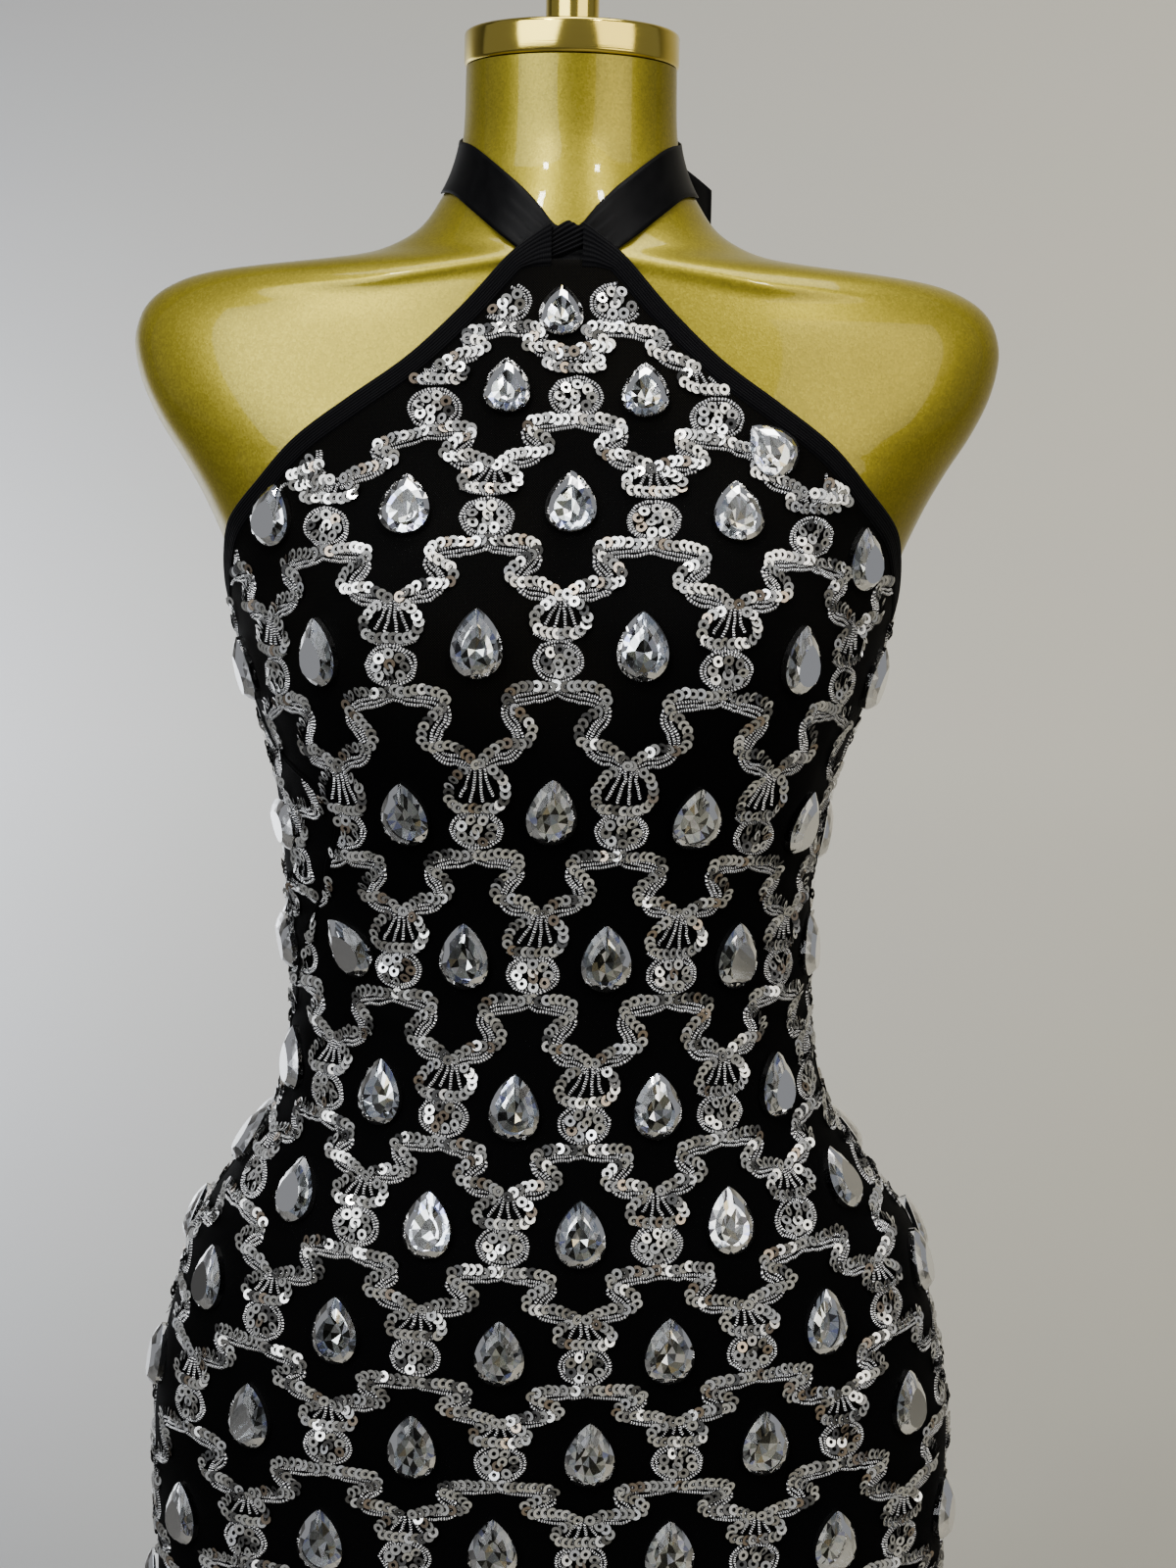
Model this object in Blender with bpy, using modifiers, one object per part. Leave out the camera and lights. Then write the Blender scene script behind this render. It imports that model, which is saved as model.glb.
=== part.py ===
"""Halter maxi dress of black stretch mesh, standing on a limbless gold dress form.

The dress is a front and a back panel joined at two side seams, elastic tape along
the armholes and the low back, and a ribbon through a casing loop at the throat,
tied in a bow at the nape. The form is a neck and torso on a pole and a round base.
Units are metres. +Z is up, the front faces -Y, and the origin is on the floor
under the form. "Left" and "right" are as seen from the front.
"""

import functools
import math
from collections import namedtuple

import bmesh
import bpy
from mathutils import Vector
from mathutils.geometry import delaunay_2d_cdt

# Cloth
WALL = 0.0016
SEAM_GAP = 0.0003
HEM_HEIGHT = 0.095
HEM_STEP = 0.024
SEAM_STEP = 0.045
WAIST_LOW = 0.990
WAIST_HIGH = 1.190
WAIST_SEAM_STEP = 0.018
TAPE_THICKNESS = 0.0024
TAPE_WIDTH = 0.0095

# Teardrop stones, measured from tip to base
STONE_WIDTH = 0.0235
STONE_HEIGHT = 0.0300
STONE_RISE = 0.0055
STONE_EDGE_MARGIN = 0.0030

# Ribbon
RIBBON_THICKNESS = 0.0012
RIBBON_LIFT = 0.0007
RIBBON_LIFT_AT_CASING = 0.0022
CASING_HALF_LENGTH = 0.0060
CASING_WALL = 0.0012
CASING_LIFT = 0.0004
CASING_DEPTH = 0.0665

# Form and stand
TORSO_BOTTOM = 0.720
NECK_TOP = 1.4655
NECK_FLARE = [1.3860, 1.3970, 1.4110, 1.4260]
RING_RADIUS = 0.0496
RING_HEIGHT = 0.0157
POST_RADIUS = 0.0123
POST_HEIGHT = 0.048
POLE_RADIUS = 0.014
BASE_RADIUS = 0.170
BASE_THICKNESS = 0.010
HUB_RADIUS = 0.026
HUB_TOP = 0.045

# The figure, and below its base the fall of the skirt: half the width, the depth
# in front of and behind the side line, and how square the outline is (2 is round).
Section = namedtuple("Section", "height half_width front back squareness")
SECTIONS = [
    Section(0.090, 0.2020, 0.1600, 0.1600, 2.00),
    Section(0.200, 0.1960, 0.1490, 0.1500, 2.00),
    Section(0.400, 0.1880, 0.1310, 0.1370, 2.10),
    Section(0.600, 0.1850, 0.1160, 0.1280, 2.15),
    Section(0.700, 0.1840, 0.1060, 0.1270, 2.20),
    Section(0.757, 0.1850, 0.1030, 0.1290, 2.20),
    Section(0.796, 0.1860, 0.1030, 0.1320, 2.20),
    Section(0.826, 0.1863, 0.1040, 0.1330, 2.20),
    Section(0.846, 0.1845, 0.1050, 0.1320, 2.20),
    Section(0.875, 0.1795, 0.1060, 0.1290, 2.20),
    Section(0.895, 0.1730, 0.1060, 0.1240, 2.15),
    Section(0.924, 0.1630, 0.1040, 0.1140, 2.10),
    Section(0.943, 0.1495, 0.1010, 0.1060, 2.10),
    Section(0.963, 0.1365, 0.0980, 0.0980, 2.10),
    Section(0.982, 0.1250, 0.0950, 0.0910, 2.10),
    Section(1.000, 0.1190, 0.0920, 0.0860, 2.10),
    Section(1.040, 0.1135, 0.0880, 0.0800, 2.10),
    Section(1.078, 0.1140, 0.0880, 0.0800, 2.10),
    Section(1.115, 0.1180, 0.0910, 0.0850, 2.15),
    Section(1.153, 0.1285, 0.0950, 0.0930, 2.20),
    Section(1.190, 0.1430, 0.0970, 0.1000, 2.20),
    Section(1.215, 0.1490, 0.0970, 0.1030, 2.25),
    Section(1.240, 0.1560, 0.0950, 0.1040, 2.30),
    Section(1.265, 0.1670, 0.0920, 0.1030, 2.35),
    Section(1.283, 0.1770, 0.0890, 0.1020, 2.40),
    Section(1.301, 0.1885, 0.0860, 0.1010, 2.40),
    Section(1.319, 0.1970, 0.0820, 0.0980, 2.40),
    Section(1.337, 0.2008, 0.0775, 0.0930, 2.40),
    Section(1.346, 0.1995, 0.0750, 0.0900, 2.40),
    Section(1.355, 0.1955, 0.0730, 0.0860, 2.30),
    Section(1.3637, 0.1850, 0.0710, 0.0810, 2.25),
    Section(1.3720, 0.1600, 0.0690, 0.0750, 2.15),
    Section(1.3770, 0.1050, 0.0675, 0.0670, 2.00),
    Section(1.3817, 0.0870, 0.0660, 0.0630, 2.00),
    Section(1.3907, 0.0705, 0.0635, 0.0590, 2.00),
    Section(1.404, 0.0605, 0.0590, 0.0555, 2.00),
    Section(1.418, 0.0535, 0.0540, 0.0520, 2.00),
    Section(1.435, 0.0495, 0.0500, 0.0495, 2.00),
    Section(NECK_TOP, 0.0486, 0.0486, 0.0486, 2.00),
]

# How far the inside of the dress stands off the figure.
Ease = namedtuple("Ease", "height left right front back")
EASES = [
    Ease(0.090, 0.004, 0.004, 0.004, 0.004),
    Ease(0.880, 0.004, 0.004, 0.004, 0.004),
    Ease(0.925, 0.0065, 0.0075, 0.005, 0.006),
    Ease(0.980, 0.007, 0.004, 0.005, 0.007),
    Ease(1.030, 0.010, 0.004, 0.007, 0.010),
    Ease(1.100, 0.013, 0.003, 0.007, 0.012),
    Ease(1.150, 0.008, 0.003, 0.006, 0.008),
    Ease(1.190, 0.004, 0.003, 0.004, 0.004),
    Ease(1.400, 0.004, 0.003, 0.004, 0.004),
]

# The two bust cups: a soft mound each, wider under cloth, which spans between them.
Mound = namedtuple("Mound", "side height depth inner outer above below")
FORM_BUST = Mound(0.076, 1.203, 0.026, 0.045, 0.050, 0.055, 0.042)
CLOTH_BUST = Mound(0.076, 1.203, 0.026, 0.085, 0.055, 0.060, 0.085)

# Soft flutes of the hanging skirt: place and width as shares of the girth.
Flute = namedtuple("Flute", "place width depth top")
FLUTES = [
    Flute(-0.445, 0.044, 0.014, 0.58),
    Flute(-0.300, 0.040, 0.017, 0.64),
    Flute(-0.160, 0.042, 0.013, 0.54),
    Flute(-0.035, 0.038, 0.016, 0.62),
    Flute(0.115, 0.044, 0.014, 0.56),
    Flute(0.255, 0.040, 0.018, 0.66),
    Flute(0.395, 0.042, 0.013, 0.60),
]

# Side seams lie a quarter of the girth from the centre, less this shift forward.
SeamShift = namedtuple("SeamShift", "height left right")
SEAM_SHIFTS = [
    SeamShift(0.980, 0.000, 0.000),
    SeamShift(1.010, 0.008, 0.008),
    SeamShift(1.0665, 0.041, 0.012),
    SeamShift(1.100, 0.066, 0.012),
    SeamShift(1.128, 0.081, 0.010),
    SeamShift(1.141, 0.068, 0.008),
    SeamShift(1.156, 0.033, 0.006),
    SeamShift(1.172, 0.0095, 0.003),
    SeamShift(1.195, 0.000, 0.000),
]

# Rows of the trellis from the throat down: the height of its stones, the middle
# column's place, half the pitch, and the rise 150 mm out to each side.
TrellisRow = namedtuple("TrellisRow", "row height centre half_pitch rise")
TRELLIS = [
    TrellisRow(1, 1.3498, 0.000, 0.0300, -0.040),
    TrellisRow(2, 1.3180, 0.005, 0.0300, -0.045),
    TrellisRow(3, 1.2670, 0.004, 0.0358, -0.012),
    TrellisRow(4, 1.2080, 0.000, 0.0367, -0.012),
    TrellisRow(5, 1.1345, -0.003, 0.0318, -0.012),
    TrellisRow(6, 1.0680, -0.009, 0.0310, -0.005),
    TrellisRow(7, 1.0000, -0.017, 0.0314, 0.008),
    TrellisRow(8, 0.9450, -0.021, 0.0338, 0.012),
    TrellisRow(9, 0.8920, -0.022, 0.0375, 0.011),
    TrellisRow(10, 0.8460, -0.021, 0.0396, 0.006),
    TrellisRow(11, 0.8000, -0.024, 0.0395, -0.004),
    TrellisRow(12, 0.7500, -0.024, 0.0400, -0.002),
    TrellisRow(24, 0.0800, -0.020, 0.0400, 0.000),
]
LAST_TRELLIS_ROW = 24

# Armhole tape on one side: its outer and its inner edge, as reach from the centre
# front along the cloth, and height. The casing is above, the side seam below.
TapeStation = namedtuple("TapeStation", "reach height inner_reach inner_height")
ARMHOLE_TAPE = [
    TapeStation(0.0068, 1.3900, 0.0068, 1.3692),
    TapeStation(0.0129, 1.3855, 0.0129, 1.3690),
    TapeStation(0.0260, 1.3745, 0.0190, 1.3680),
    TapeStation(0.0460, 1.3520, 0.0392, 1.3454),
    TapeStation(0.0690, 1.3300, 0.0630, 1.3227),
    TapeStation(0.0950, 1.3115, 0.0895, 1.3037),
    TapeStation(0.1190, 1.2945, 0.1131, 1.2871),
    TapeStation(0.1410, 1.2750, 0.1351, 1.2676),
    TapeStation(0.1650, 1.2580, 0.1591, 1.2505),
    TapeStation(0.1800, 1.2450, 0.1739, 1.2377),
    TapeStation(0.1960, 1.2320, 0.1898, 1.2248),
]
SIDE_SEAM_TOP = 1.2165
FRONT_TOP = 1.3681

# The low back's upper edge, as reach from the centre back, and height.
BackEdge = namedtuple("BackEdge", "reach height")
BACK_EDGE = [
    BackEdge(0.000, 1.118),
    BackEdge(0.035, 1.121),
    BackEdge(0.070, 1.131),
    BackEdge(0.105, 1.148),
    BackEdge(0.140, 1.171),
    BackEdge(0.170, 1.192),
    BackEdge(0.195, 1.208),
]

# The ribbon round the neck: angle from the front, and its two edges' heights.
RibbonStation = namedtuple("RibbonStation", "angle top bottom")
NECK_RIBBON = [
    RibbonStation(0, 1.3868, 1.3706),
    RibbonStation(5, 1.3884, 1.3706),
    RibbonStation(12, 1.3975, 1.3716),
    RibbonStation(22, 1.4070, 1.3805),
    RibbonStation(40, 1.4190, 1.3945),
    RibbonStation(60, 1.4275, 1.4045),
    RibbonStation(90, 1.4325, 1.4080),
    RibbonStation(120, 1.4400, 1.4170),
    RibbonStation(150, 1.4460, 1.4240),
    RibbonStation(180, 1.4485, 1.4275),
]
RIBBON_TURN_STEP = 10

# The bow at the nape
KNOT_SIZE = (0.026, 0.013, 0.021)
KNOT_HEIGHT = 1.4385
BOW_WIDTH = 0.0195
TAIL_LIFT = 0.0016
BowLoop = namedtuple("BowLoop", "side length droop")
BOW_LOOPS = [BowLoop("left", 0.045, 0.020), BowLoop("right", 0.056, 0.030)]
BowTail = namedtuple("BowTail", "side length spread slant")
BOW_TAILS = [BowTail("left", 0.255, 0.034, 0.010), BowTail("right", 0.225, 0.028, -0.008)]

Finish = namedtuple("Finish", "colour metallic roughness")
FINISHES = {
    "mesh_cloth": Finish((0.012, 0.012, 0.014), 0.0, 0.70),
    "elastic_tape": Finish((0.010, 0.010, 0.011), 0.0, 0.85),
    "satin_ribbon": Finish((0.020, 0.020, 0.022), 0.0, 0.38),
    "gold_paint": Finish((0.420, 0.340, 0.090), 0.75, 0.32),
    "gold_plate": Finish((0.620, 0.520, 0.110), 1.0, 0.08),
}


def clear_scene():
    """Remove everything that the open file holds."""
    for old in list(bpy.data.objects):
        bpy.data.objects.remove(old, do_unlink=True)
    for old in list(bpy.data.collections):
        bpy.data.collections.remove(old)


def read_table(rows, key):
    """Read a table at any key: a smooth curve through its rows, never past them."""
    key = min(max(key, rows[0][0]), rows[-1][0])
    low = 0
    while low < len(rows) - 2 and rows[low + 1][0] < key:
        low += 1
    start, end = rows[low], rows[low + 1]
    before, after = rows[max(low - 1, 0)], rows[min(low + 2, len(rows) - 1)]
    span = end[0] - start[0]
    share = (key - start[0]) / span
    values = [key]
    for column in range(1, len(start)):
        change = end[column] - start[column]
        slope_in = (end[column] - before[column]) / (end[0] - before[0]) * span
        slope_out = (after[column] - start[column]) / (after[0] - start[0]) * span
        slope_in = limit_slope(slope_in, change)
        slope_out = limit_slope(slope_out, change)
        values.append(
            start[column] * (2 * share**3 - 3 * share**2 + 1)
            + slope_in * (share**3 - 2 * share**2 + share)
            + end[column] * (3 * share**2 - 2 * share**3)
            + slope_out * (share**3 - share**2)
        )
    return type(start)(*values)


def limit_slope(slope, change):
    """Keep a slope on the side of the change that it leads to, and not too steep."""
    if slope * change <= 0:
        return 0.0
    return math.copysign(min(abs(slope), 3 * abs(change)), change)


def mound_depth(mound, x, height):
    """Depth of a bust cup at a point of the front."""
    across = abs(x) - mound.side
    up = height - mound.height
    width = mound.inner if across < 0 else mound.outer
    reach = mound.above if up > 0 else mound.below
    return mound.depth * math.exp(-((across / width) ** 2) - (up / reach) ** 2)


def outline_point(height, turn, in_cloth):
    """A point of the figure's or the dress's inner outline; turn 0 is the front."""
    section = read_table(SECTIONS, height)
    left = right = section.half_width
    front, back = section.front, section.back
    mound = FORM_BUST
    if in_cloth:
        ease = read_table(EASES, height)
        left, right = left + ease.left, right + ease.right
        front, back = front + ease.front, back + ease.back
        mound = CLOTH_BUST
    across, ahead = math.sin(turn), math.cos(turn)
    power = 2 / section.squareness
    half_width = right if across > 0 else left
    x = math.copysign(half_width * abs(across) ** power, across)
    if ahead > 0:
        y = -front * ahead**power - mound_depth(mound, x, height) * min(1.0, 2 * ahead)
    else:
        y = back * (-ahead) ** power
    return x, y


@functools.lru_cache(maxsize=4000)
def girth_walk(height):
    """The dress's inner outline at a height, with the length walked to each point."""
    steps = 120
    points = [outline_point(height, math.tau * k / steps, True) for k in range(steps + 1)]
    walked = [0.0]
    for start, end in zip(points, points[1:]):
        walked.append(walked[-1] + math.dist(start, end))
    return points, walked


def girth(height):
    """Length of the dress's inner outline at a height."""
    return girth_walk(height)[1][-1]


def smooth_step(share):
    """A soft change from 0 to 1."""
    share = min(max(share, 0.0), 1.0)
    return share * share * (3 - 2 * share)


def smooth_cloth_point(reach, height):
    """Point of the cloth's inside without its flutes, by reach from centre front."""
    points, walked = girth_walk(height)
    whole = walked[-1]
    reach = reach % whole
    low, high = 0, len(walked) - 1
    while high - low > 1:
        middle = (low + high) // 2
        if walked[middle] <= reach:
            low = middle
        else:
            high = middle
    share = (reach - walked[low]) / (walked[high] - walked[low])
    x = points[low][0] + (points[high][0] - points[low][0]) * share
    y = points[low][1] + (points[high][1] - points[low][1]) * share
    return Vector((x, y, height))


def flute_depth(reach, height):
    """How far the skirt's flutes stand out at a point."""
    around = reach / girth(height)
    depth = 0.0
    for flute in FLUTES:
        away = (around - flute.place + 0.5) % 1.0 - 0.5
        fall = smooth_step((flute.top - height) / (flute.top - HEM_HEIGHT))
        depth += flute.depth * fall * math.exp(-((away / flute.width) ** 2))
    return depth


def surface_point(reach, height):
    """Point of the cloth's inside, by reach from the centre front and height."""
    point = smooth_cloth_point(reach, height)
    if height < max(flute.top for flute in FLUTES):
        step = 0.004
        along = smooth_cloth_point(reach + step, height) - smooth_cloth_point(
            reach - step, height
        )
        outward = Vector((along.y, -along.x, 0.0)).normalized()
        point += outward * flute_depth(reach, height)
    return point


def surface_normal(reach, height):
    """Direction out of the cloth at a point."""
    step = 0.003
    along = surface_point(reach + step, height) - surface_point(reach - step, height)
    shift = girth(height + step) / girth(height - step)
    above = surface_point(reach * math.sqrt(shift), height + step)
    below = surface_point(reach / math.sqrt(shift), height - step)
    return along.cross(above - below).normalized()


def cloth_point(reach, height, lift):
    """Point a given distance out from the cloth's inside."""
    return surface_point(reach, height) + surface_normal(reach, height) * lift


def left_seam(height):
    """Reach of the left side seam, below zero."""
    return -girth(height) / 4 + read_table(SEAM_SHIFTS, height).left


def right_seam(height):
    """Reach of the right side seam."""
    return girth(height) / 4 - read_table(SEAM_SHIFTS, height).right


def beside_seam(seam, height, side):
    """Reach half a seam's gap to one side of it, square to the seam."""
    step = 0.002
    slant = (seam(height + step) - seam(height - step)) / (2 * step)
    return seam(height) + side * SEAM_GAP / 2 * math.hypot(1.0, slant)


def make_material(finish_name):
    """One finish as a plain material."""
    finish = FINISHES[finish_name]
    material = bpy.data.materials.new(finish_name)
    material.use_nodes = True
    shader = material.node_tree.nodes["Principled BSDF"]
    shader.inputs["Base Color"].default_value = (*finish.colour, 1.0)
    shader.inputs["Metallic"].default_value = finish.metallic
    shader.inputs["Roughness"].default_value = finish.roughness
    material.diffuse_color = (*finish.colour, 1.0)
    return material


def add_object(name, points, faces, finish_name, collection):
    """A closed mesh as an object, with its faces turned outward."""
    mesh = bpy.data.meshes.new(name)
    mesh.from_pydata([tuple(point) for point in points], [], faces)
    work = bmesh.new()
    work.from_mesh(mesh)
    bmesh.ops.recalc_face_normals(work, faces=work.faces[:])
    work.to_mesh(mesh)
    work.free()
    mesh.shade_smooth()
    mesh.set_sharp_from_angle(angle=math.radians(40))
    mesh.materials.append(make_material(finish_name))
    piece = bpy.data.objects.new(name, mesh)
    collection.objects.link(piece)
    return piece


def add_loft(name, loops, finish_name, collection, ring=False):
    """Skin a row of loops with the same number of points; a ring joins its ends."""
    count = len(loops[0])
    points = [point for loop in loops for point in loop]
    faces = []
    for k in range(len(loops) if ring else len(loops) - 1):
        here, there = k * count, (k + 1) % len(loops) * count
        for j in range(count):
            after = (j + 1) % count
            faces.append((here + j, here + after, there + after, there + j))
    if not ring:
        faces.append(tuple(range(count)))
        faces.append(tuple(range(len(points) - count, len(points))))
    return add_object(name, points, faces, finish_name, collection)


def add_turned(name, profile, segments, finish_name, collection):
    """Turn a profile of (radius, height), top to bottom, about the stand's axis."""
    mesh = bpy.data.meshes.new(name)
    edges = [(k, k + 1) for k in range(len(profile) - 1)]
    mesh.from_pydata([(radius, 0.0, height) for radius, height in profile], edges, [])
    mesh.materials.append(make_material(finish_name))
    piece = bpy.data.objects.new(name, mesh)
    collection.objects.link(piece)
    screw = piece.modifiers.new("turn", "SCREW")
    screw.steps = segments
    screw.render_steps = segments
    screw.use_merge_vertices = True
    screw.merge_threshold = 0.00005
    screw.use_smooth_shade = True
    return piece


# Form

def form_point(height, turn):
    """Point of the dress form's surface."""
    x, y = outline_point(height, turn, False)
    return Vector((x, y, height))


def make_form(collection):
    """The neck and torso in one shell, and the plated ring that caps the neck."""
    around = 36
    heights = [TORSO_BOTTOM, TORSO_BOTTOM + 0.006, TORSO_BOTTOM + 0.020]
    heights += [row.height for row in SECTIONS if row.height > TORSO_BOTTOM + 0.03]
    heights = sorted(heights + NECK_FLARE)
    rounding = {heights[0]: 0.93, heights[1]: 0.98}
    loops = []
    for height in heights:
        share = rounding.get(height, 1.0)
        loop = []
        for k in range(around):
            point = form_point(height, math.tau * k / around)
            loop.append(Vector((point.x * share, point.y * share, height)))
        loops.append(loop)
    add_loft("form_torso", loops, "gold_paint", collection)

    ring_bottom = NECK_TOP + SEAM_GAP
    ring_top = ring_bottom + RING_HEIGHT
    edge = 0.0010
    ring_profile = [
        (0.0, ring_top),
        (RING_RADIUS - edge, ring_top),
        (RING_RADIUS, ring_top - edge),
        (RING_RADIUS, ring_bottom),
        (0.0, ring_bottom),
    ]
    add_turned("neck_ring", ring_profile, 40, "gold_plate", collection)

    post_bottom = ring_top + SEAM_GAP
    post_top = post_bottom + POST_HEIGHT
    post_profile = [
        (0.0, post_top),
        (0.62 * POST_RADIUS, post_top - 0.0010),
        (0.90 * POST_RADIUS, post_top - 0.0035),
        (POST_RADIUS, post_top - 0.0075),
        (POST_RADIUS, post_bottom),
        (0.0, post_bottom),
    ]
    add_turned("neck_post", post_profile, 24, "gold_plate", collection)


def make_stand(collection):
    """A pole from the torso's underside to a round weighted base."""
    pole_top = TORSO_BOTTOM - SEAM_GAP
    pole_bottom = HUB_TOP + SEAM_GAP
    pole_profile = [
        (0.0, pole_top),
        (POLE_RADIUS, pole_top),
        (POLE_RADIUS, pole_bottom),
        (0.0, pole_bottom),
    ]
    add_turned("stand_pole", pole_profile, 20, "gold_plate", collection)
    base_profile = [
        (0.0, HUB_TOP),
        (HUB_RADIUS - 0.004, HUB_TOP),
        (HUB_RADIUS, HUB_TOP - 0.004),
        (HUB_RADIUS, BASE_THICKNESS + 0.006),
        (HUB_RADIUS + 0.010, BASE_THICKNESS + 0.001),
        (BASE_RADIUS - 0.006, BASE_THICKNESS),
        (BASE_RADIUS, BASE_THICKNESS - 0.004),
        (BASE_RADIUS, 0.0),
        (0.0, 0.0),
    ]
    add_turned("stand_base", base_profile, 48, "gold_plate", collection)


# Panels

Stone = namedtuple("Stone", "reach height tilt")


def trellis_place(row, column, is_back):
    """Reach from a panel's middle and height of a place on the trellis."""
    line = read_table(TRELLIS, row)
    middle = 0.0 if is_back else line.centre
    reach = middle + column * line.half_pitch
    return reach, line.height + line.rise * (reach / 0.150) ** 2


def stone_outline(stone):
    """The seven corners of a stone's foot, clockwise from its tip."""
    half, tall = STONE_WIDTH / 2, STONE_HEIGHT
    corners = [
        (0.0, 0.50 * tall),
        (0.66 * half, 0.16 * tall),
        (half, -0.13 * tall),
        (0.55 * half, -0.44 * tall),
        (-0.55 * half, -0.44 * tall),
        (-half, -0.13 * tall),
        (-0.66 * half, 0.16 * tall),
    ]
    return [turned_corner(stone, across, up) for across, up in corners]


def stone_table(stone):
    """The five corners of a stone's raised table, clockwise from its tip."""
    half, tall = STONE_WIDTH / 2, STONE_HEIGHT
    corners = [
        (0.0, 0.26 * tall),
        (0.60 * half, -0.04 * tall),
        (0.34 * half, -0.28 * tall),
        (-0.34 * half, -0.28 * tall),
        (-0.60 * half, -0.04 * tall),
    ]
    return [turned_corner(stone, across, up) for across, up in corners]


def turned_corner(stone, across, up):
    """A corner on the cloth, turned with its stone."""
    cosine, sine = math.cos(stone.tilt), math.sin(stone.tilt)
    return (
        stone.reach + across * cosine - up * sine,
        stone.height + across * sine + up * cosine,
    )


def distance_inside(outline, place):
    """Distance of a place from an outline, below zero outside it."""
    inside = False
    nearest = math.inf
    x, y = place
    for (x0, y0), (x1, y1) in zip(outline, outline[1:] + outline[:1]):
        if (y0 > y) != (y1 > y) and x < x0 + (y - y0) * (x1 - x0) / (y1 - y0):
            inside = not inside
        along = ((x - x0) * (x1 - x0) + (y - y0) * (y1 - y0)) / (
            (x1 - x0) ** 2 + (y1 - y0) ** 2
        )
        along = min(max(along, 0.0), 1.0)
        nearest = min(nearest, math.dist(place, (x0 + along * (x1 - x0), y0 + along * (y1 - y0))))
    return nearest if inside else -nearest


def lay_out_trellis(outline, is_back, extra_stones):
    """Stones and the trellis's joints between them, where they fit in an outline."""
    stones = [
        stone
        for stone in extra_stones
        if distance_inside(outline, (stone.reach, stone.height)) > 0
    ]
    joints = []
    for row in range(1, LAST_TRELLIS_ROW + 1):
        for column in range(-8, 9):
            place = trellis_place(row, column, is_back)
            crowded = any(
                math.dist(place, (other.reach, other.height)) < 1.45 * STONE_HEIGHT
                for other in extra_stones
            )
            if crowded:
                continue
            if (row + column) % 2 == 1:
                stone = Stone(*place, 0.0)
                corners = stone_outline(stone)
                if min(distance_inside(outline, corner) for corner in corners) > (
                    STONE_EDGE_MARGIN
                ):
                    stones.append(stone)
            elif distance_inside(outline, place) > 2 * STONE_EDGE_MARGIN:
                joints.append(place)
    return stones, joints


def add_panel(name, outline, stones, joints, middle, collection):
    """A cloth wall inside an outline, its stones raised over a plain inside.

    The outline and places are reach from the panel's middle and height; middle is
    a function of height that gives the reach of that middle from the centre front.
    """
    flat = list(outline)
    edges = [(k, (k + 1) % len(outline)) for k in range(len(outline))]
    foot_of = {}
    for number, stone in enumerate(stones):
        first = len(flat)
        flat.extend(stone_outline(stone))
        count = len(flat) - first
        for k in range(count):
            foot_of[first + k] = number
            edges.append((first + k, first + (k + 1) % count))
    flat.extend(joints)
    result = delaunay_2d_cdt([Vector(place) for place in flat], edges, [], 1, 1e-7)
    places, triangles, sources = result[0], result[2], result[3]
    new_index = {source: k for k, found in enumerate(sources) for source in found}

    def skin(reach, height, lift):
        return cloth_point(middle(height) + reach, height, lift)

    count = len(places)
    points = [skin(place.x, place.y, WALL) for place in places]
    points += [skin(place.x, place.y, 0.0) for place in places]
    faces = []
    for triangle in triangles:
        stone_numbers = {foot_of.get(sources[k][0]) for k in triangle}
        under_stone = len(stone_numbers) == 1 and None not in stone_numbers
        if not under_stone:
            faces.append(tuple(triangle))
        faces.append(tuple(k + count for k in reversed(triangle)))
    for k in range(len(outline)):
        here, there = new_index[k], new_index[(k + 1) % len(outline)]
        faces.append((here, here + count, there + count, there))

    first = len(outline)
    for stone in stones:
        foot = [new_index[first + k] for k in range(7)]
        first += 7
        outward = surface_normal(middle(stone.height) + stone.reach, stone.height)
        table = []
        for reach, height in stone_table(stone):
            table.append(len(points))
            points.append(skin(reach, height, 0.0) + outward * (WALL + STONE_RISE))
        for foot_side, table_side in STONE_SIDES:
            faces.append(
                tuple(foot[k] for k in foot_side) + tuple(table[k] for k in table_side)
            )
        faces.append(tuple(table))
    return add_object(name, points, faces, "mesh_cloth", collection)


# Which corners of a stone's foot and table each of its sloping sides joins.
STONE_SIDES = [
    ((0, 1), (1, 0)),
    ((1, 2), (1,)),
    ((2, 3), (2, 1)),
    ((3, 4), (3, 2)),
    ((4, 5), (4, 3)),
    ((5, 6), (4,)),
    ((6, 0), (0, 4)),
]


def steps_between(start, end, step):
    """Evenly spaced values from start to end, both included."""
    count = max(1, round(abs(end - start) / step))
    return [start + (end - start) * k / count for k in range(count + 1)]


def seam_heights():
    """Heights of a side seam's points, close together at the waist."""
    top = SIDE_SEAM_TOP - TAPE_WIDTH
    low_part = steps_between(HEM_HEIGHT, WAIST_LOW, SEAM_STEP)
    waist_part = steps_between(WAIST_LOW, WAIST_HIGH, WAIST_SEAM_STEP)
    high_part = steps_between(WAIST_HIGH, top, SEAM_STEP)
    return low_part[1:] + waist_part[1:] + high_part[1:]


def front_outline():
    """The front panel's edge: hem, right seam, armholes and throat, left seam."""
    hem = steps_between(
        beside_seam(left_seam, HEM_HEIGHT, 1),
        beside_seam(right_seam, HEM_HEIGHT, -1),
        HEM_STEP,
    )
    edge = [(reach, HEM_HEIGHT) for reach in hem]
    heights = seam_heights()
    edge += [(beside_seam(right_seam, height, -1), height) for height in heights]
    armhole = [
        (station.inner_reach, min(station.inner_height - 0.0004, FRONT_TOP))
        for station in ARMHOLE_TAPE[1:]
    ]
    edge += list(reversed(armhole))
    edge += [(-reach, height) for reach, height in armhole]
    edge += [(beside_seam(left_seam, height, 1), height) for height in reversed(heights)]
    return edge


def back_reach(height, reach):
    """Turn a reach from the centre front into one from the centre back."""
    return reach - girth(height) / 2 if reach > 0 else reach + girth(height) / 2


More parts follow.
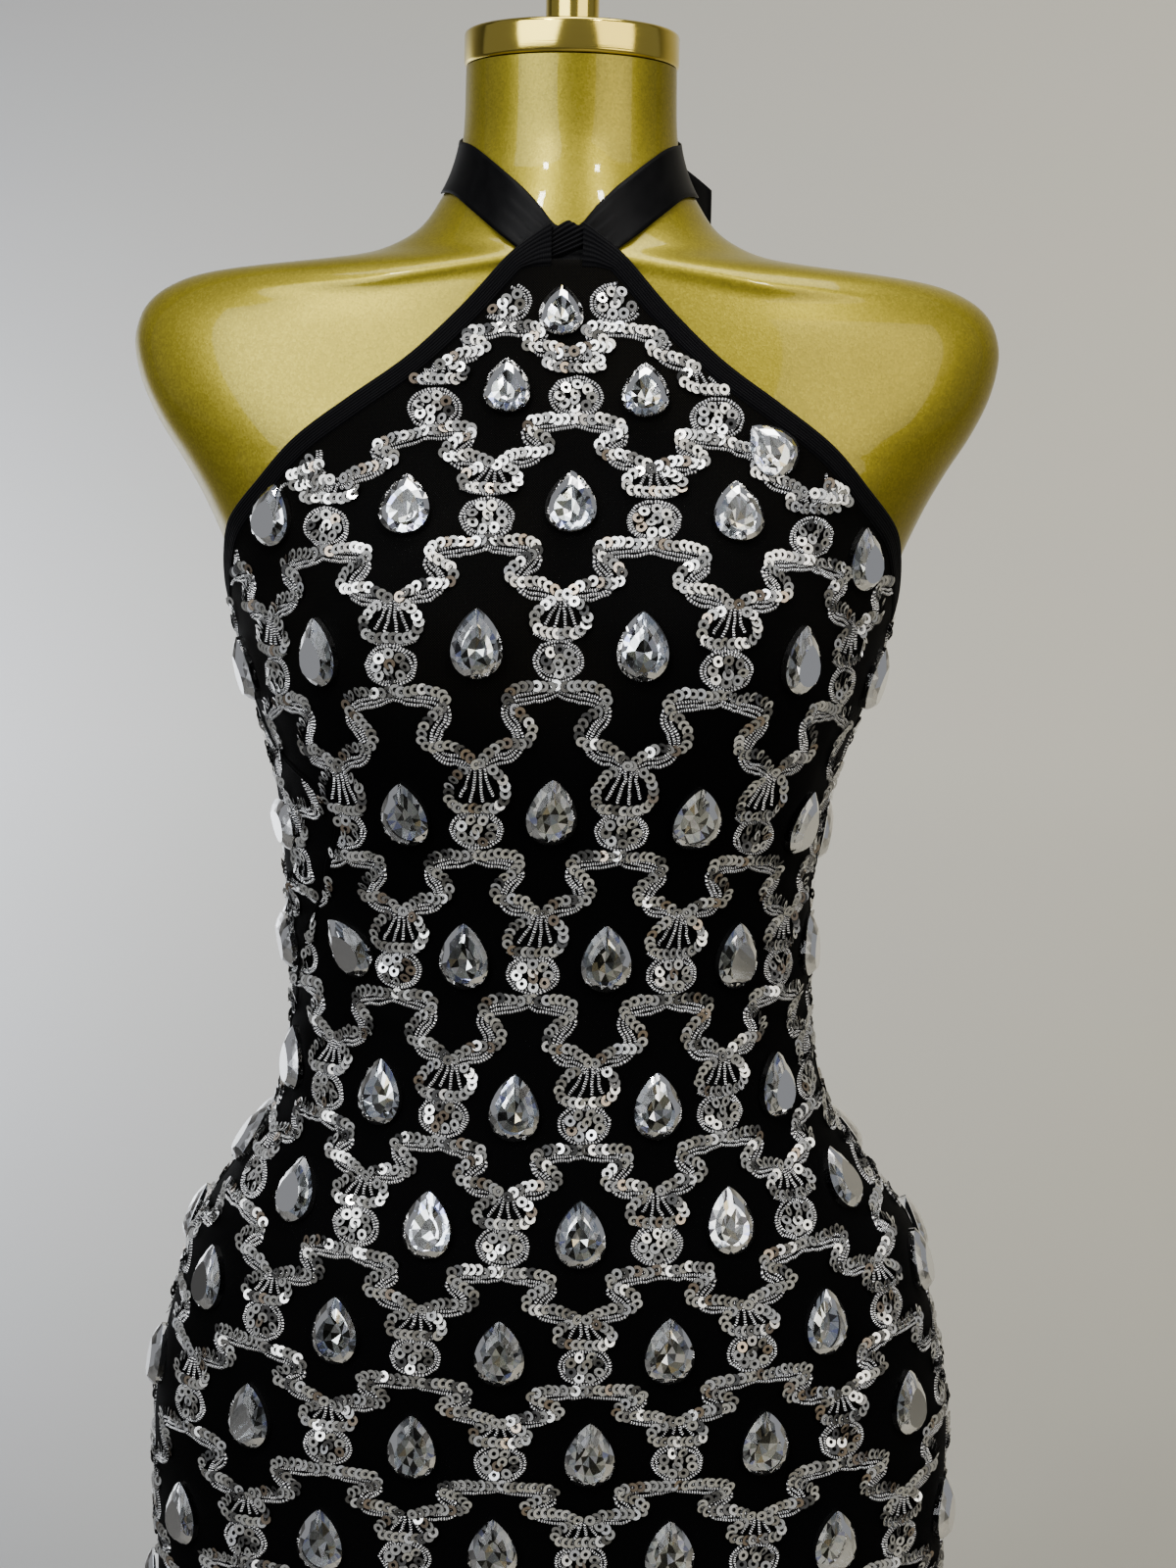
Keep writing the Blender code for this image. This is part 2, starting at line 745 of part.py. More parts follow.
def back_outline():
    """The back panel's edge, by reach from the centre back: right seam first."""

    def right_edge(height):
        return back_reach(height, beside_seam(right_seam, height, 1))

    def left_edge(height):
        return back_reach(height, beside_seam(left_seam, height, -1))

    hem = steps_between(right_edge(HEM_HEIGHT), left_edge(HEM_HEIGHT), HEM_STEP)
    edge = [(reach, HEM_HEIGHT) for reach in hem]
    heights = seam_heights()
    edge += [(left_edge(height), height) for height in heights]
    drop = TAPE_WIDTH + SEAM_GAP
    scoop = [(row.reach, row.height - drop) for row in BACK_EDGE]
    edge += list(reversed(scoop))
    edge += [(-reach, height) for reach, height in scoop[1:]]
    edge += [(right_edge(height), height) for height in reversed(heights)]
    return edge


# Stones that the forward sweep of the left seam turns, by reach from centre front.
TURNED_STONES = [
    Stone(-0.150, 1.1200, math.radians(62)),
    Stone(-0.153, 1.0630, math.radians(50)),
    Stone(-0.098, 1.0670, math.radians(38)),
]


def make_panels(collection):
    """The front and the back of the dress."""
    outline = front_outline()
    extra = [TURNED_STONES[2]]
    stones, joints = lay_out_trellis(outline, False, extra)
    add_panel("dress_front", outline, stones, joints, lambda height: 0.0, collection)

    outline = back_outline()
    extra = [
        Stone(back_reach(stone.height, stone.reach), stone.height, stone.tilt)
        for stone in TURNED_STONES[:2]
    ]
    stones, joints = lay_out_trellis(outline, True, extra)
    add_panel(
        "dress_back", outline, stones, joints, lambda height: girth(height) / 2, collection
    )


# Tapes

def tape_loop(outer, inner):
    """Cross-section of an edge tape between two places on the cloth."""
    return [
        cloth_point(*outer, 0.0),
        cloth_point(*inner, 0.0),
        cloth_point(*inner, TAPE_THICKNESS),
        cloth_point(*outer, TAPE_THICKNESS),
    ]


def make_tapes(collection):
    """Elastic tapes along the two armholes and the low back."""
    for side, sign in (("left", -1), ("right", 1)):
        loops = []
        for station in ARMHOLE_TAPE:
            outer = (sign * station.reach, station.height)
            inner = (sign * station.inner_reach, station.inner_height)
            loops.append(tape_loop(outer, inner))
        seam = left_seam if sign < 0 else right_seam
        low = SIDE_SEAM_TOP - TAPE_WIDTH + SEAM_GAP
        gap = sign * SEAM_GAP / 2
        loops.append(
            tape_loop((seam(SIDE_SEAM_TOP) - gap, SIDE_SEAM_TOP), (seam(low) - gap, low))
        )
        add_loft(f"armhole_tape_{side}", loops, "elastic_tape", collection)

    loops = []
    half_gap = SEAM_GAP / 2
    low = SIDE_SEAM_TOP - TAPE_WIDTH + SEAM_GAP
    loops.append(
        tape_loop(
            (right_seam(SIDE_SEAM_TOP) + half_gap, SIDE_SEAM_TOP),
            (right_seam(low) + half_gap, low),
        )
    )
    reaches = [(-row.reach, row.height) for row in reversed(BACK_EDGE)]
    reaches += [(row.reach, row.height) for row in BACK_EDGE[1:]]
    for reach, height in reaches:
        inner_height = height - TAPE_WIDTH
        loops.append(
            tape_loop(
                (girth(height) / 2 + reach, height),
                (girth(inner_height) / 2 + reach, inner_height),
            )
        )
    loops.append(
        tape_loop(
            (left_seam(SIDE_SEAM_TOP) - half_gap, SIDE_SEAM_TOP),
            (left_seam(low) - half_gap, low),
        )
    )
    add_loft("back_tape", loops, "elastic_tape", collection)


# Ribbon, casing and bow

def bearing_point(angle, height):
    """Point of the form's surface in the direction that an angle from the front gives."""
    low, high = 0.0, math.pi
    for _ in range(40):
        turn = (low + high) / 2
        point = form_point(height, turn)
        if math.atan2(point.x, -point.y) < math.radians(abs(angle)):
            low = turn
        else:
            high = turn
    point = form_point(height, (low + high) / 2)
    return Vector((math.copysign(point.x, angle), point.y, height))


def neck_point(angle, height, lift):
    """Point off the form's neck, by angle from the front."""
    ahead = bearing_point(angle + 1, height) - bearing_point(angle - 1, height)
    rising = bearing_point(angle, height + 0.001) - bearing_point(angle, height - 0.001)
    return bearing_point(angle, height) + ahead.cross(rising).normalized() * lift


def make_ribbon(collection):
    """One satin ribbon round the neck, which dips to the casing at the throat."""
    loops = []
    bends = [-12, -5, 5, 12]
    for angle in sorted(bends + list(range(-180, 180, RIBBON_TURN_STEP))):
        station = read_table(NECK_RIBBON, abs(angle))
        nearness = smooth_step((45 - abs(angle)) / 25)
        lift = RIBBON_LIFT + (RIBBON_LIFT_AT_CASING - RIBBON_LIFT) * nearness
        middle = (station.top + station.bottom) / 2
        inner = [
            neck_point(angle, height, lift)
            for height in (station.bottom, middle, station.top)
        ]
        outer = [
            neck_point(angle, height, lift + RIBBON_THICKNESS)
            for height in (station.top, middle, station.bottom)
        ]
        loops.append(inner + outer)
    add_loft("neck_ribbon", loops, "satin_ribbon", collection, ring=True)


def make_casing(collection):
    """The loop at the throat that the ribbon passes through."""
    outer_top, outer_bottom = 1.3906, 1.3688
    wall = CASING_WALL
    near = CASING_LIFT
    far = RIBBON_LIFT_AT_CASING + RIBBON_THICKNESS + SEAM_GAP + wall
    inner_top, inner_bottom = outer_top - 0.0012, outer_bottom + 0.0010
    loops = []
    for k in range(5):
        x = CASING_HALF_LENGTH * (k / 2 - 1)
        rings = []
        for top, bottom, low, high in (
            (outer_top, outer_bottom, near, far),
            (inner_top, inner_bottom, near + wall, far - wall),
        ):
            rings.append(casing_ring(x, top, bottom, low, high))
        loops.append(rings)
    count = len(loops[0][0])
    points = [point for rings in loops for ring in rings for point in ring]
    faces = []
    for k in range(len(loops) - 1):
        for layer in range(2):
            here = (2 * k + layer) * count
            there = here + 2 * count
            for j in range(count):
                after = (j + 1) % count
                faces.append((here + j, here + after, there + after, there + j))
    for start in (0, 2 * (len(loops) - 1) * count):
        for j in range(count):
            after = (j + 1) % count
            faces.append((start + j, start + after, start + count + after, start + count + j))
    add_object("casing_loop", points, faces, "elastic_tape", collection)


def casing_ring(x, top, bottom, low, high):
    """One loop of the casing's section: up its front, down between ribbon and form."""
    heights = [bottom, (2 * bottom + top) / 3, (bottom + 2 * top) / 3, top]
    angle = math.degrees(math.atan2(x, CASING_DEPTH))
    front = [neck_point(angle, height, high) for height in heights]
    behind = [neck_point(angle, height, low) for height in reversed(heights)]
    return front + behind


def make_bow(collection):
    """Knot, two loops and two tails at the nape."""
    neck_back = form_point(KNOT_HEIGHT - KNOT_SIZE[2] / 2, math.pi).y
    knot_y = neck_back + RIBBON_LIFT + RIBBON_THICKNESS + SEAM_GAP + KNOT_SIZE[1] / 2
    mesh = bpy.data.meshes.new("bow_knot")
    work = bmesh.new()
    bmesh.ops.create_cube(work, size=1.0)
    bmesh.ops.scale(work, vec=KNOT_SIZE, verts=work.verts[:])
    work.to_mesh(mesh)
    work.free()
    mesh.materials.append(make_material("satin_ribbon"))
    knot = bpy.data.objects.new("bow_knot", mesh)
    knot.location = (0.0, knot_y, KNOT_HEIGHT)
    collection.objects.link(knot)
    bevel = knot.modifiers.new("round", "BEVEL")
    bevel.width = 0.004
    bevel.segments = 2

    for loop in BOW_LOOPS:
        add_bow_loop(loop, knot_y, collection)
    for tail in BOW_TAILS:
        add_bow_tail(tail, knot_y, collection)


def add_bow_loop(loop, knot_y, collection):
    """A flat ribbon loop, standing out from the knot and drooping to its end."""
    sign = -1 if loop.side == "left" else 1
    start = KNOT_SIZE[0] / 2 + SEAM_GAP
    belly = 0.0075
    path = []
    steps = 16
    for k in range(steps):
        turn = math.tau * (k + 0.5) / steps
        out = (1 - math.cos(turn)) / 2
        apart = belly * math.sin(turn) * math.sqrt(out)
        path.append((start + loop.length * out, apart, -loop.droop * out**1.5))
    loops = []
    for k, (out, apart, drop) in enumerate(path):
        before, after = path[k - 1], path[(k + 1) % steps]
        along = Vector((after[0] - before[0], after[1] - before[1], 0.0)).normalized()
        inward = Vector((-along.y, along.x, 0.0))
        section = []
        for lift, shift in ((-0.5, 0.0), (0.5, 0.0), (0.5, 1.0), (-0.5, 1.0)):
            spot = Vector((out, apart, drop + lift * BOW_WIDTH))
            spot += inward * shift * RIBBON_THICKNESS
            section.append(Vector((sign * spot.x, knot_y + spot.y, KNOT_HEIGHT + spot.z)))
        loops.append(section)
    add_loft(f"bow_loop_{loop.side}", loops, "satin_ribbon", collection, ring=True)


def add_bow_tail(tail, knot_y, collection):
    """A ribbon end that falls from the knot and lies on the form's back."""
    sign = -1 if tail.side == "left" else 1
    top = KNOT_HEIGHT - KNOT_SIZE[2] / 2 - 4 * SEAM_GAP
    steps = 24
    loops = []
    for k in range(steps + 1):
        share = k / steps
        height = top - tail.length * share**1.15
        opened = smooth_step(share / 0.18)
        half = BOW_WIDTH / 2 * (0.55 + 0.45 * opened)
        middle = sign * (0.0062 + 0.0050 * opened + tail.spread * share**1.3)
        free_y = knot_y - 0.003
        section = []
        for across in (-1, 0, 1):
            x = middle + across * half
            slanted = height + tail.slant * across * smooth_step((share - 0.8) / 0.2)
            section.append((x, slanted))
        inner, outer = [], []
        for x, level in section:
            rest = back_of_form(x, level)
            facing = back_normal(x, level)
            spot = rest + facing * TAIL_LIFT
            blend = smooth_step(share / 0.12)
            spot.y = max(free_y * (1 - blend), spot.y)
            inner.append(spot)
            outer.append(spot + facing * RIBBON_THICKNESS)
        loops.append(inner + list(reversed(outer)))
    add_loft(f"bow_tail_{tail.side}", loops, "satin_ribbon", collection)


def back_of_form(x, height):
    """Point of the form's back at a given x."""
    low, high = math.pi / 2, math.pi
    for _ in range(40):
        turn = (low + high) / 2
        if form_point(height, turn).x > abs(x):
            low = turn
        else:
            high = turn
    point = form_point(height, high)
    return Vector((x, point.y, height))


def back_normal(x, height):
    """Direction out of the form's back at a given x."""
    step = 0.002
    across = back_of_form(x + step, height) - back_of_form(x - step, height)
    rising = back_of_form(x, height + step) - back_of_form(x, height - step)
    return rising.cross(across).normalized()


clear_scene()
dress_collection = bpy.data.collections.new("halter_maxi_dress_on_form")
bpy.context.scene.collection.children.link(dress_collection)
make_form(dress_collection)
make_stand(dress_collection)
make_panels(dress_collection)
make_tapes(dress_collection)
make_ribbon(dress_collection)
make_casing(dress_collection)
make_bow(dress_collection)
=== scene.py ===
"""Looks of a halter maxi dress of black stretch mesh on a gold dress form.

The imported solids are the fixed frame. The cloth is laid out by reach, which is the
distance round it from the centre front, and by height. Units are metres, +Z is up,
the front faces -Y, and "left" and "right" are as seen from the front.
"""

import math

import bpy
import numpy as np
from mathutils import Matrix, Vector


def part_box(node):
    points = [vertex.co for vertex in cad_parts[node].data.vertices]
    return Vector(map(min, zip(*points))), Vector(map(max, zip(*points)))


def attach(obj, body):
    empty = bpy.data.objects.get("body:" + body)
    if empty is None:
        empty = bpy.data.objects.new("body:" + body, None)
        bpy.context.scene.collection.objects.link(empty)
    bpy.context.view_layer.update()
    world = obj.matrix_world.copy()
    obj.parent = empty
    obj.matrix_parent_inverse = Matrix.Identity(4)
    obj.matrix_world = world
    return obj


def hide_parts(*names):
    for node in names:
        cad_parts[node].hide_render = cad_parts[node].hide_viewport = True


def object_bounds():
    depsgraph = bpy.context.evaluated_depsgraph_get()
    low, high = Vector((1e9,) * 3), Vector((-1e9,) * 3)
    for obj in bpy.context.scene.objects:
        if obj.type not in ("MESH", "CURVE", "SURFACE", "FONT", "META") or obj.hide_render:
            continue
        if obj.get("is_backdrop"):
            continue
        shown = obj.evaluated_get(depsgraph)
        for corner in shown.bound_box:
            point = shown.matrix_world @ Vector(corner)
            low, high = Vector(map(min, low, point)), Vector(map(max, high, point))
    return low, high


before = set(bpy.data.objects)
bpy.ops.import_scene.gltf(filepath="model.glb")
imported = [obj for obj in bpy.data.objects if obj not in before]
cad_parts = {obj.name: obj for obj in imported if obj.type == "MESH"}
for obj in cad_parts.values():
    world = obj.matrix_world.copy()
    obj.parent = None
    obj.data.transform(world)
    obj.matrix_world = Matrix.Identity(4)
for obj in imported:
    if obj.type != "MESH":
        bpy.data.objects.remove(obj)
solids_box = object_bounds()

# The room: a pale floor that sweeps up into a plain wall, seen from chest height.
# A broad soft light stands to each side of the camera, one hangs overhead, a low one
# behind the dress brightens the wall, and two small ones glint in gold and stones.
CAMERA_PLACE = (0.013, -1.25, 1.2743)
CAMERA_DOWN = math.radians(6.40)
CAMERA_ROLL = math.radians(0.95)
CAMERA_LENS = 60.75
ROOM_COLOUR = (0.52, 0.51, 0.485)
# The wall's colour carries painted shade and light: shares of its colour by height, darker near
# the floor and at the top, and a painted light by side, darker on the left and lighter and warmer
# on the right.
WALL_PAINTED_SHADE = [(0.05, 0.66), (0.50, 1.0), (0.90, 0.86)]
WALL_PAINTED_SIDE_LIGHT = [(0.0, (0.45, 0.45, 0.455)), (1.0, (1.0, 0.97, 0.87))]
ROOM_HALF_WIDTH = 5.0
WALL_PLACE = 1.5
SWEEP_RADIUS = 0.9
LIGHTS = [
    # name, place, aim, width, height, power, colour
    ("left_light", (-1.7, -2.3, 2.3), (0.0, 0.0, 1.0), 2.4, 2.6, 68.0, (0.96, 0.98, 1.0)),
    ("right_light", (2.1, -1.9, 2.1), (0.0, 0.0, 1.1), 2.2, 2.4, 34.0, (1.0, 0.95, 0.86)),
    ("top_light", (0.1, -0.35, 3.1), (0.0, 0.0, 1.0), 1.8, 0.9, 23.0, (1.0, 0.99, 0.97)),
    ("wall_light", (-1.25, 0.85, 1.0), (-0.98, 1.5, 1.0), 0.5, 0.5, 42.0, (0.86, 0.91, 1.0)),
    ("left_spot", (-0.75, -1.5, 2.9), (0.0, 0.0, 1.1), 0.16, 0.16, 11.0, (1.0, 0.99, 0.97)),
    ("right_spot", (0.85, -1.4, 2.9), (0.0, 0.0, 1.1), 0.16, 0.16, 9.0, (1.0, 0.98, 0.94)),
]


def new_material(name, colour, metallic, roughness, **sockets):
    """A material with its shader set, other inputs of it by name, ready for more nodes."""
    material = bpy.data.materials.new(name)
    material.use_nodes = True
    shader = material.node_tree.nodes["Principled BSDF"]
    shader.inputs["Base Color"].default_value = (*colour, 1.0)
    shader.inputs["Metallic"].default_value = metallic
    shader.inputs["Roughness"].default_value = roughness
    for socket, value in sockets.items():
        shader.inputs[socket.replace("_", " ")].default_value = value
    material.diffuse_color = (*colour, 1.0)
    return material


def add_node(material, kind, *ordered, **named):
    """A node with its inputs set or linked; names in small letters are its settings."""
    node = material.node_tree.nodes.new(kind)
    for name in [name for name in named if name.islower()]:
        setattr(node, name, named.pop(name))
    by_name = [(node.inputs[name.replace("_", " ")], value) for name, value in named.items()]
    for socket, value in [*zip(node.inputs, ordered), *by_name]:
        if isinstance(value, bpy.types.NodeSocket):
            material.node_tree.links.new(value, socket)
        else:
            socket.default_value = value
    return node


def set_input(material, name, output):
    """Link an output to an input of a material's shader."""
    shader = material.node_tree.nodes["Principled BSDF"]
    material.node_tree.links.new(output, shader.inputs[name])


def multiply_colours(material, share, first, second):
    """One colour times a share of another."""
    mix = add_node(
        material, "ShaderNodeMix", data_type="RGBA", blend_type="MULTIPLY",
        Factor=share, A=first, B=second,
    )
    return mix.outputs["Result"]


def add_ramp(material, fac, stops):
    """A colour ramp through stops of (place, colour)."""
    ramp = add_node(material, "ShaderNodeValToRGB", fac)
    elements = ramp.color_ramp.elements
    while len(elements) < len(stops):
        elements.new(0.5)
    for element, (place, colour) in zip(elements, stops):
        element.position = place
        element.color = (*colour, 1.0)
    return ramp.outputs["Color"]


def paint_by(material, fac, stops):
    """Colour a material by a pattern, through stops of (place, colour)."""
    set_input(material, "Base Color", add_ramp(material, fac, stops))


def add_bump(material, height, distance, strength):
    """Raise a material's surface by a height pattern, in metres."""
    bump = add_node(
        material, "ShaderNodeBump", Height=height, Distance=distance, Strength=strength
    )
    set_input(material, "Normal", bump.outputs["Normal"])


def mesh_piece(name, points, faces, material, uvs=None):
    """A smooth mesh object; uvs gives each point's place on its cloth, in metres."""
    mesh = bpy.data.meshes.new(name)
    faces = np.asarray(faces)
    mesh.from_pydata(np.asarray(points).reshape(-1, 3).tolist(), [], faces.tolist())
    mesh.shade_smooth()
    mesh.materials.append(material)
    if uvs is not None:
        layer = mesh.uv_layers.new(name="cloth")
        places = np.asarray(uvs, dtype=float).reshape(-1, 2)
        layer.data.foreach_set("uv", places[faces].ravel())
    piece = bpy.data.objects.new(name, mesh)
    bpy.context.scene.collection.objects.link(piece)
    return piece


def grid_faces(rows, columns, wrap=False):
    """Quads of a grid of points; wrap joins its last column to its first."""
    row, column = np.meshgrid(
        np.arange(rows - 1), np.arange(columns if wrap else columns - 1), indexing="ij"
    )
    after = (column + 1) % columns
    corners = [
        row * columns + column,
        row * columns + after,
        (row + 1) * columns + after,
        (row + 1) * columns + column,
    ]
    return np.stack(corners, axis=-1).reshape(-1, 4)


def grid_piece(name, points, material, uvs=None, wrap=False):
    """A smooth mesh object from rows of points."""
    points = np.asarray(points)
    return mesh_piece(name, points, grid_faces(*points.shape[:2], wrap), material, uvs)


room_profile = [(-6.0, 0.0), (WALL_PLACE - SWEEP_RADIUS, 0.0)]
for step in range(1, 25):
    turn = math.radians(90 * step / 24)
    room_profile.append(
        (
            WALL_PLACE - SWEEP_RADIUS + SWEEP_RADIUS * math.sin(turn),
            SWEEP_RADIUS * (1 - math.cos(turn)),
        )
    )
room_profile.append((WALL_PLACE, 5.0))
room_points = [
    [(x, y, z) for x in (-ROOM_HALF_WIDTH, ROOM_HALF_WIDTH)] for y, z in room_profile
]
room_paint_and_painted_shade = new_material("room_paint_and_painted_shade", ROOM_COLOUR, 0.0, 0.85)
room_place = add_node(room_paint_and_painted_shade, "ShaderNodeTexCoord").outputs["Object"]
room_axes = add_node(room_paint_and_painted_shade, "ShaderNodeSeparateXYZ", room_place).outputs
room_height = add_node(room_paint_and_painted_shade, "ShaderNodeMapRange", room_axes["Z"], From_Max=2.0)
room_side = add_node(
    room_paint_and_painted_shade, "ShaderNodeMapRange", room_axes["X"], From_Min=-0.6, From_Max=0.6
)
# Painted shade by height, times painted light and shade by side, then a faint grain of the paint.
painted_wall_shade = add_ramp(
    room_paint_and_painted_shade,
    room_height.outputs["Result"],
    [(place, tuple(share * c for c in ROOM_COLOUR)) for place, share in WALL_PAINTED_SHADE],
)
painted_side_light = add_ramp(room_paint_and_painted_shade, room_side.outputs["Result"], WALL_PAINTED_SIDE_LIGHT)
painted_wall_shade = multiply_colours(room_paint_and_painted_shade, 1.0, painted_wall_shade, painted_side_light)
paint_grain = add_node(room_paint_and_painted_shade, "ShaderNodeTexNoise", Scale=55.0, Detail=4.0)
painted_wall_shade = multiply_colours(room_paint_and_painted_shade, 0.03, painted_wall_shade, paint_grain.outputs["Color"])
set_input(room_paint_and_painted_shade, "Base Color", painted_wall_shade)
# Seen from outside, the wall is clear, so that it never stands before the dress.
room_nodes = room_paint_and_painted_shade.node_tree.nodes
see_through = add_node(
    room_paint_and_painted_shade,
    "ShaderNodeMixShader",
    add_node(room_paint_and_painted_shade, "ShaderNodeNewGeometry").outputs["Backfacing"],
    room_nodes["Principled BSDF"].outputs["BSDF"],
    add_node(room_paint_and_painted_shade, "ShaderNodeBsdfTransparent").outputs["BSDF"],
)
room_end = room_nodes["Material Output"].inputs["Surface"]
room_paint_and_painted_shade.node_tree.links.new(see_through.outputs["Shader"], room_end)
room = grid_piece("room_sweep", room_points, room_paint_and_painted_shade)
room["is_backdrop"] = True

for name, place, aim, width, height, power, colour in LIGHTS:
    lamp = bpy.data.lights.new(name, "AREA")
    lamp.shape = "RECTANGLE"
    lamp.size, lamp.size_y = width, height
    lamp.energy, lamp.color = power, colour
    light = bpy.data.objects.new(name, lamp)
    light.location = place
    light.rotation_euler = (Vector(aim) - Vector(place)).to_track_quat("-Z", "Y").to_euler()
    bpy.context.scene.collection.objects.link(light)

sky = bpy.data.worlds.new("soft_room_light")
sky.use_nodes = True
sky_light = sky.node_tree.nodes["Background"].inputs
sky_light["Color"].default_value = (0.93, 0.95, 1.0, 1.0)
sky_light["Strength"].default_value = 0.24
bpy.context.scene.world = sky
bpy.context.scene.view_settings.look = "AgX - Medium High Contrast"

lens = bpy.data.cameras.new("camera")
lens.lens = CAMERA_LENS
lens.sensor_width = 36.0
lens.sensor_fit = "AUTO"
camera = bpy.data.objects.new("camera", lens)
bpy.context.scene.collection.objects.link(camera)
tilt = Matrix.Rotation(math.radians(90) - CAMERA_DOWN, 4, "X")
roll = Matrix.Rotation(CAMERA_ROLL, 4, "Z")
camera.matrix_world = Matrix.Translation(CAMERA_PLACE) @ tilt @ roll
bpy.context.scene.camera = camera

# The stand: a heavy round base and its pole, both of steel plated in polished gold.
# The pole screws into a collar on the base.
GOLD_PLATE = (0.72, 0.58, 0.16)
BASE_RADIUS = 0.170
BASE_PROFILE = [
    # radius, height
    (0.0140, 0.0450), (0.0225, 0.0450), (0.0245, 0.0444), (0.0258, 0.0430),
    (0.0260, 0.0410), (0.0260, 0.0200), (0.0268, 0.0160), (0.0292, 0.0125),
    (0.0340, 0.0108), (0.0420, 0.0102), (0.1560, 0.0098), (0.1640, 0.0095),
    (0.1682, 0.0082),
    (BASE_RADIUS, 0.0058),
    (BASE_RADIUS, 0.0012),
    (0.1690, 0.0), (0.0, 0.0),
]
POLE_RADIUS = 0.014
POLE_BOTTOM, POLE_TOP = 0.0440, 0.7197


def turned_piece(name, profile, material, segments=128):
    """Turn a profile of (radius, height), from the top down, about the stand's axis."""
    turns = np.arange(segments) * math.tau / segments
    rings = []
    for radius, height in profile[::-1]:
        ring = [radius * np.sin(turns), -radius * np.cos(turns), np.full(segments, height)]
        rings.append(np.stack(ring, axis=-1))
    return grid_piece(name, rings, material, wrap=True)


def gold_plating(name, grain):
    """Polished gold plate with the faint turned lines of its polishing."""
    plate = new_material(name, GOLD_PLATE, 1.0, 0.10)
    place = add_node(plate, "ShaderNodeTexCoord").outputs["Object"]
    lines = add_node(plate, "ShaderNodeMapping", place, Scale=(18.0, 18.0, grain))
    brushed = add_node(
        plate, "ShaderNodeTexNoise", lines.outputs["Vector"], Scale=1.0, Detail=5.0
    ).outputs["Fac"]
    shine = add_node(plate, "ShaderNodeMapRange", brushed, To_Min=0.05, To_Max=0.20)
    set_input(plate, "Roughness", shine.outputs["Result"])
    add_bump(plate, brushed, 0.00008, 0.5)
    return plate


stand_plate = gold_plating("stand_gold", 900.0)
base = turned_piece("weighted_base", BASE_PROFILE, stand_plate)
pole = turned_piece(
    "pole",
    [
        (0.0, POLE_TOP),
        (POLE_RADIUS - 0.0006, POLE_TOP),
        (POLE_RADIUS, POLE_TOP - 0.0006),
        (POLE_RADIUS, 0.0600),
        (POLE_RADIUS, POLE_BOTTOM),
        (0.0, POLE_BOTTOM),
    ],
    stand_plate,
    64,
)
for piece, node in ((base, "stand_base"), (pole, "stand_pole")):
    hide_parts(node)
    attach(piece, "root")

# The dress form: neck and torso moulded in one shell of glass fibre, without arms,
# head or legs, and sprayed with a clear lacquer full of fine gold flake.
FIGURE = [
    # height, half width, front, back, squareness
    (0.090, 0.2020, 0.1600, 0.1600, 2.00), (0.200, 0.1960, 0.1490, 0.1500, 2.00),
    (0.400, 0.1880, 0.1310, 0.1370, 2.10), (0.600, 0.1850, 0.1160, 0.1280, 2.15),
    (0.700, 0.1840, 0.1060, 0.1270, 2.20), (0.757, 0.1850, 0.1030, 0.1290, 2.20),
    (0.796, 0.1860, 0.1030, 0.1320, 2.20), (0.826, 0.1863, 0.1040, 0.1330, 2.20),
    (0.846, 0.1845, 0.1050, 0.1320, 2.20), (0.875, 0.1795, 0.1060, 0.1290, 2.20),
    (0.895, 0.1730, 0.1060, 0.1240, 2.15), (0.924, 0.1630, 0.1040, 0.1140, 2.10),
    (0.943, 0.1495, 0.1010, 0.1060, 2.10), (0.963, 0.1365, 0.0980, 0.0980, 2.10),
    (0.982, 0.1250, 0.0950, 0.0910, 2.10), (1.000, 0.1190, 0.0920, 0.0860, 2.10),
    (1.040, 0.1135, 0.0880, 0.0800, 2.10), (1.078, 0.1140, 0.0880, 0.0800, 2.10),
    (1.115, 0.1180, 0.0910, 0.0850, 2.15), (1.153, 0.1285, 0.0950, 0.0930, 2.20),
    (1.190, 0.1430, 0.0970, 0.1000, 2.20), (1.215, 0.1490, 0.0970, 0.1030, 2.25),
    (1.240, 0.1560, 0.0950, 0.1040, 2.30), (1.265, 0.1670, 0.0920, 0.1030, 2.35),
    (1.283, 0.1770, 0.0890, 0.1020, 2.40), (1.301, 0.1885, 0.0860, 0.1010, 2.40),
    (1.319, 0.1970, 0.0820, 0.0980, 2.40), (1.337, 0.2008, 0.0775, 0.0930, 2.40),
    (1.346, 0.1995, 0.0750, 0.0900, 2.40), (1.355, 0.1955, 0.0730, 0.0860, 2.30),
    (1.3637, 0.1850, 0.0710, 0.0810, 2.25), (1.3720, 0.1600, 0.0690, 0.0750, 2.15),
    (1.3770, 0.1050, 0.0675, 0.0670, 2.00), (1.3817, 0.0870, 0.0660, 0.0630, 2.00),
    (1.3907, 0.0705, 0.0635, 0.0590, 2.00), (1.404, 0.0605, 0.0590, 0.0555, 2.00),
    (1.418, 0.0535, 0.0540, 0.0520, 2.00), (1.435, 0.0495, 0.0500, 0.0495, 2.00),
    (1.4655, 0.0486, 0.0486, 0.0486, 2.00),
]
# Each bust cup: side, height, depth, and its reach inward, outward, above and below.
FORM_BUST = (0.076, 1.203, 0.026, 0.045, 0.050, 0.055, 0.042)
FORM_SIDES = 144
TORSO_BOTTOM = 0.720
NECK_TOP = 1.4655
COLLARBONE_HEIGHT, COLLARBONE_RISE = 1.3745, 0.0025
FORM_GOLD = (0.33, 0.278, 0.050)
FLAKE_DARK, FLAKE_BRIGHT = (0.2376, 0.20016, 0.0360), (0.46, 0.39, 0.072)


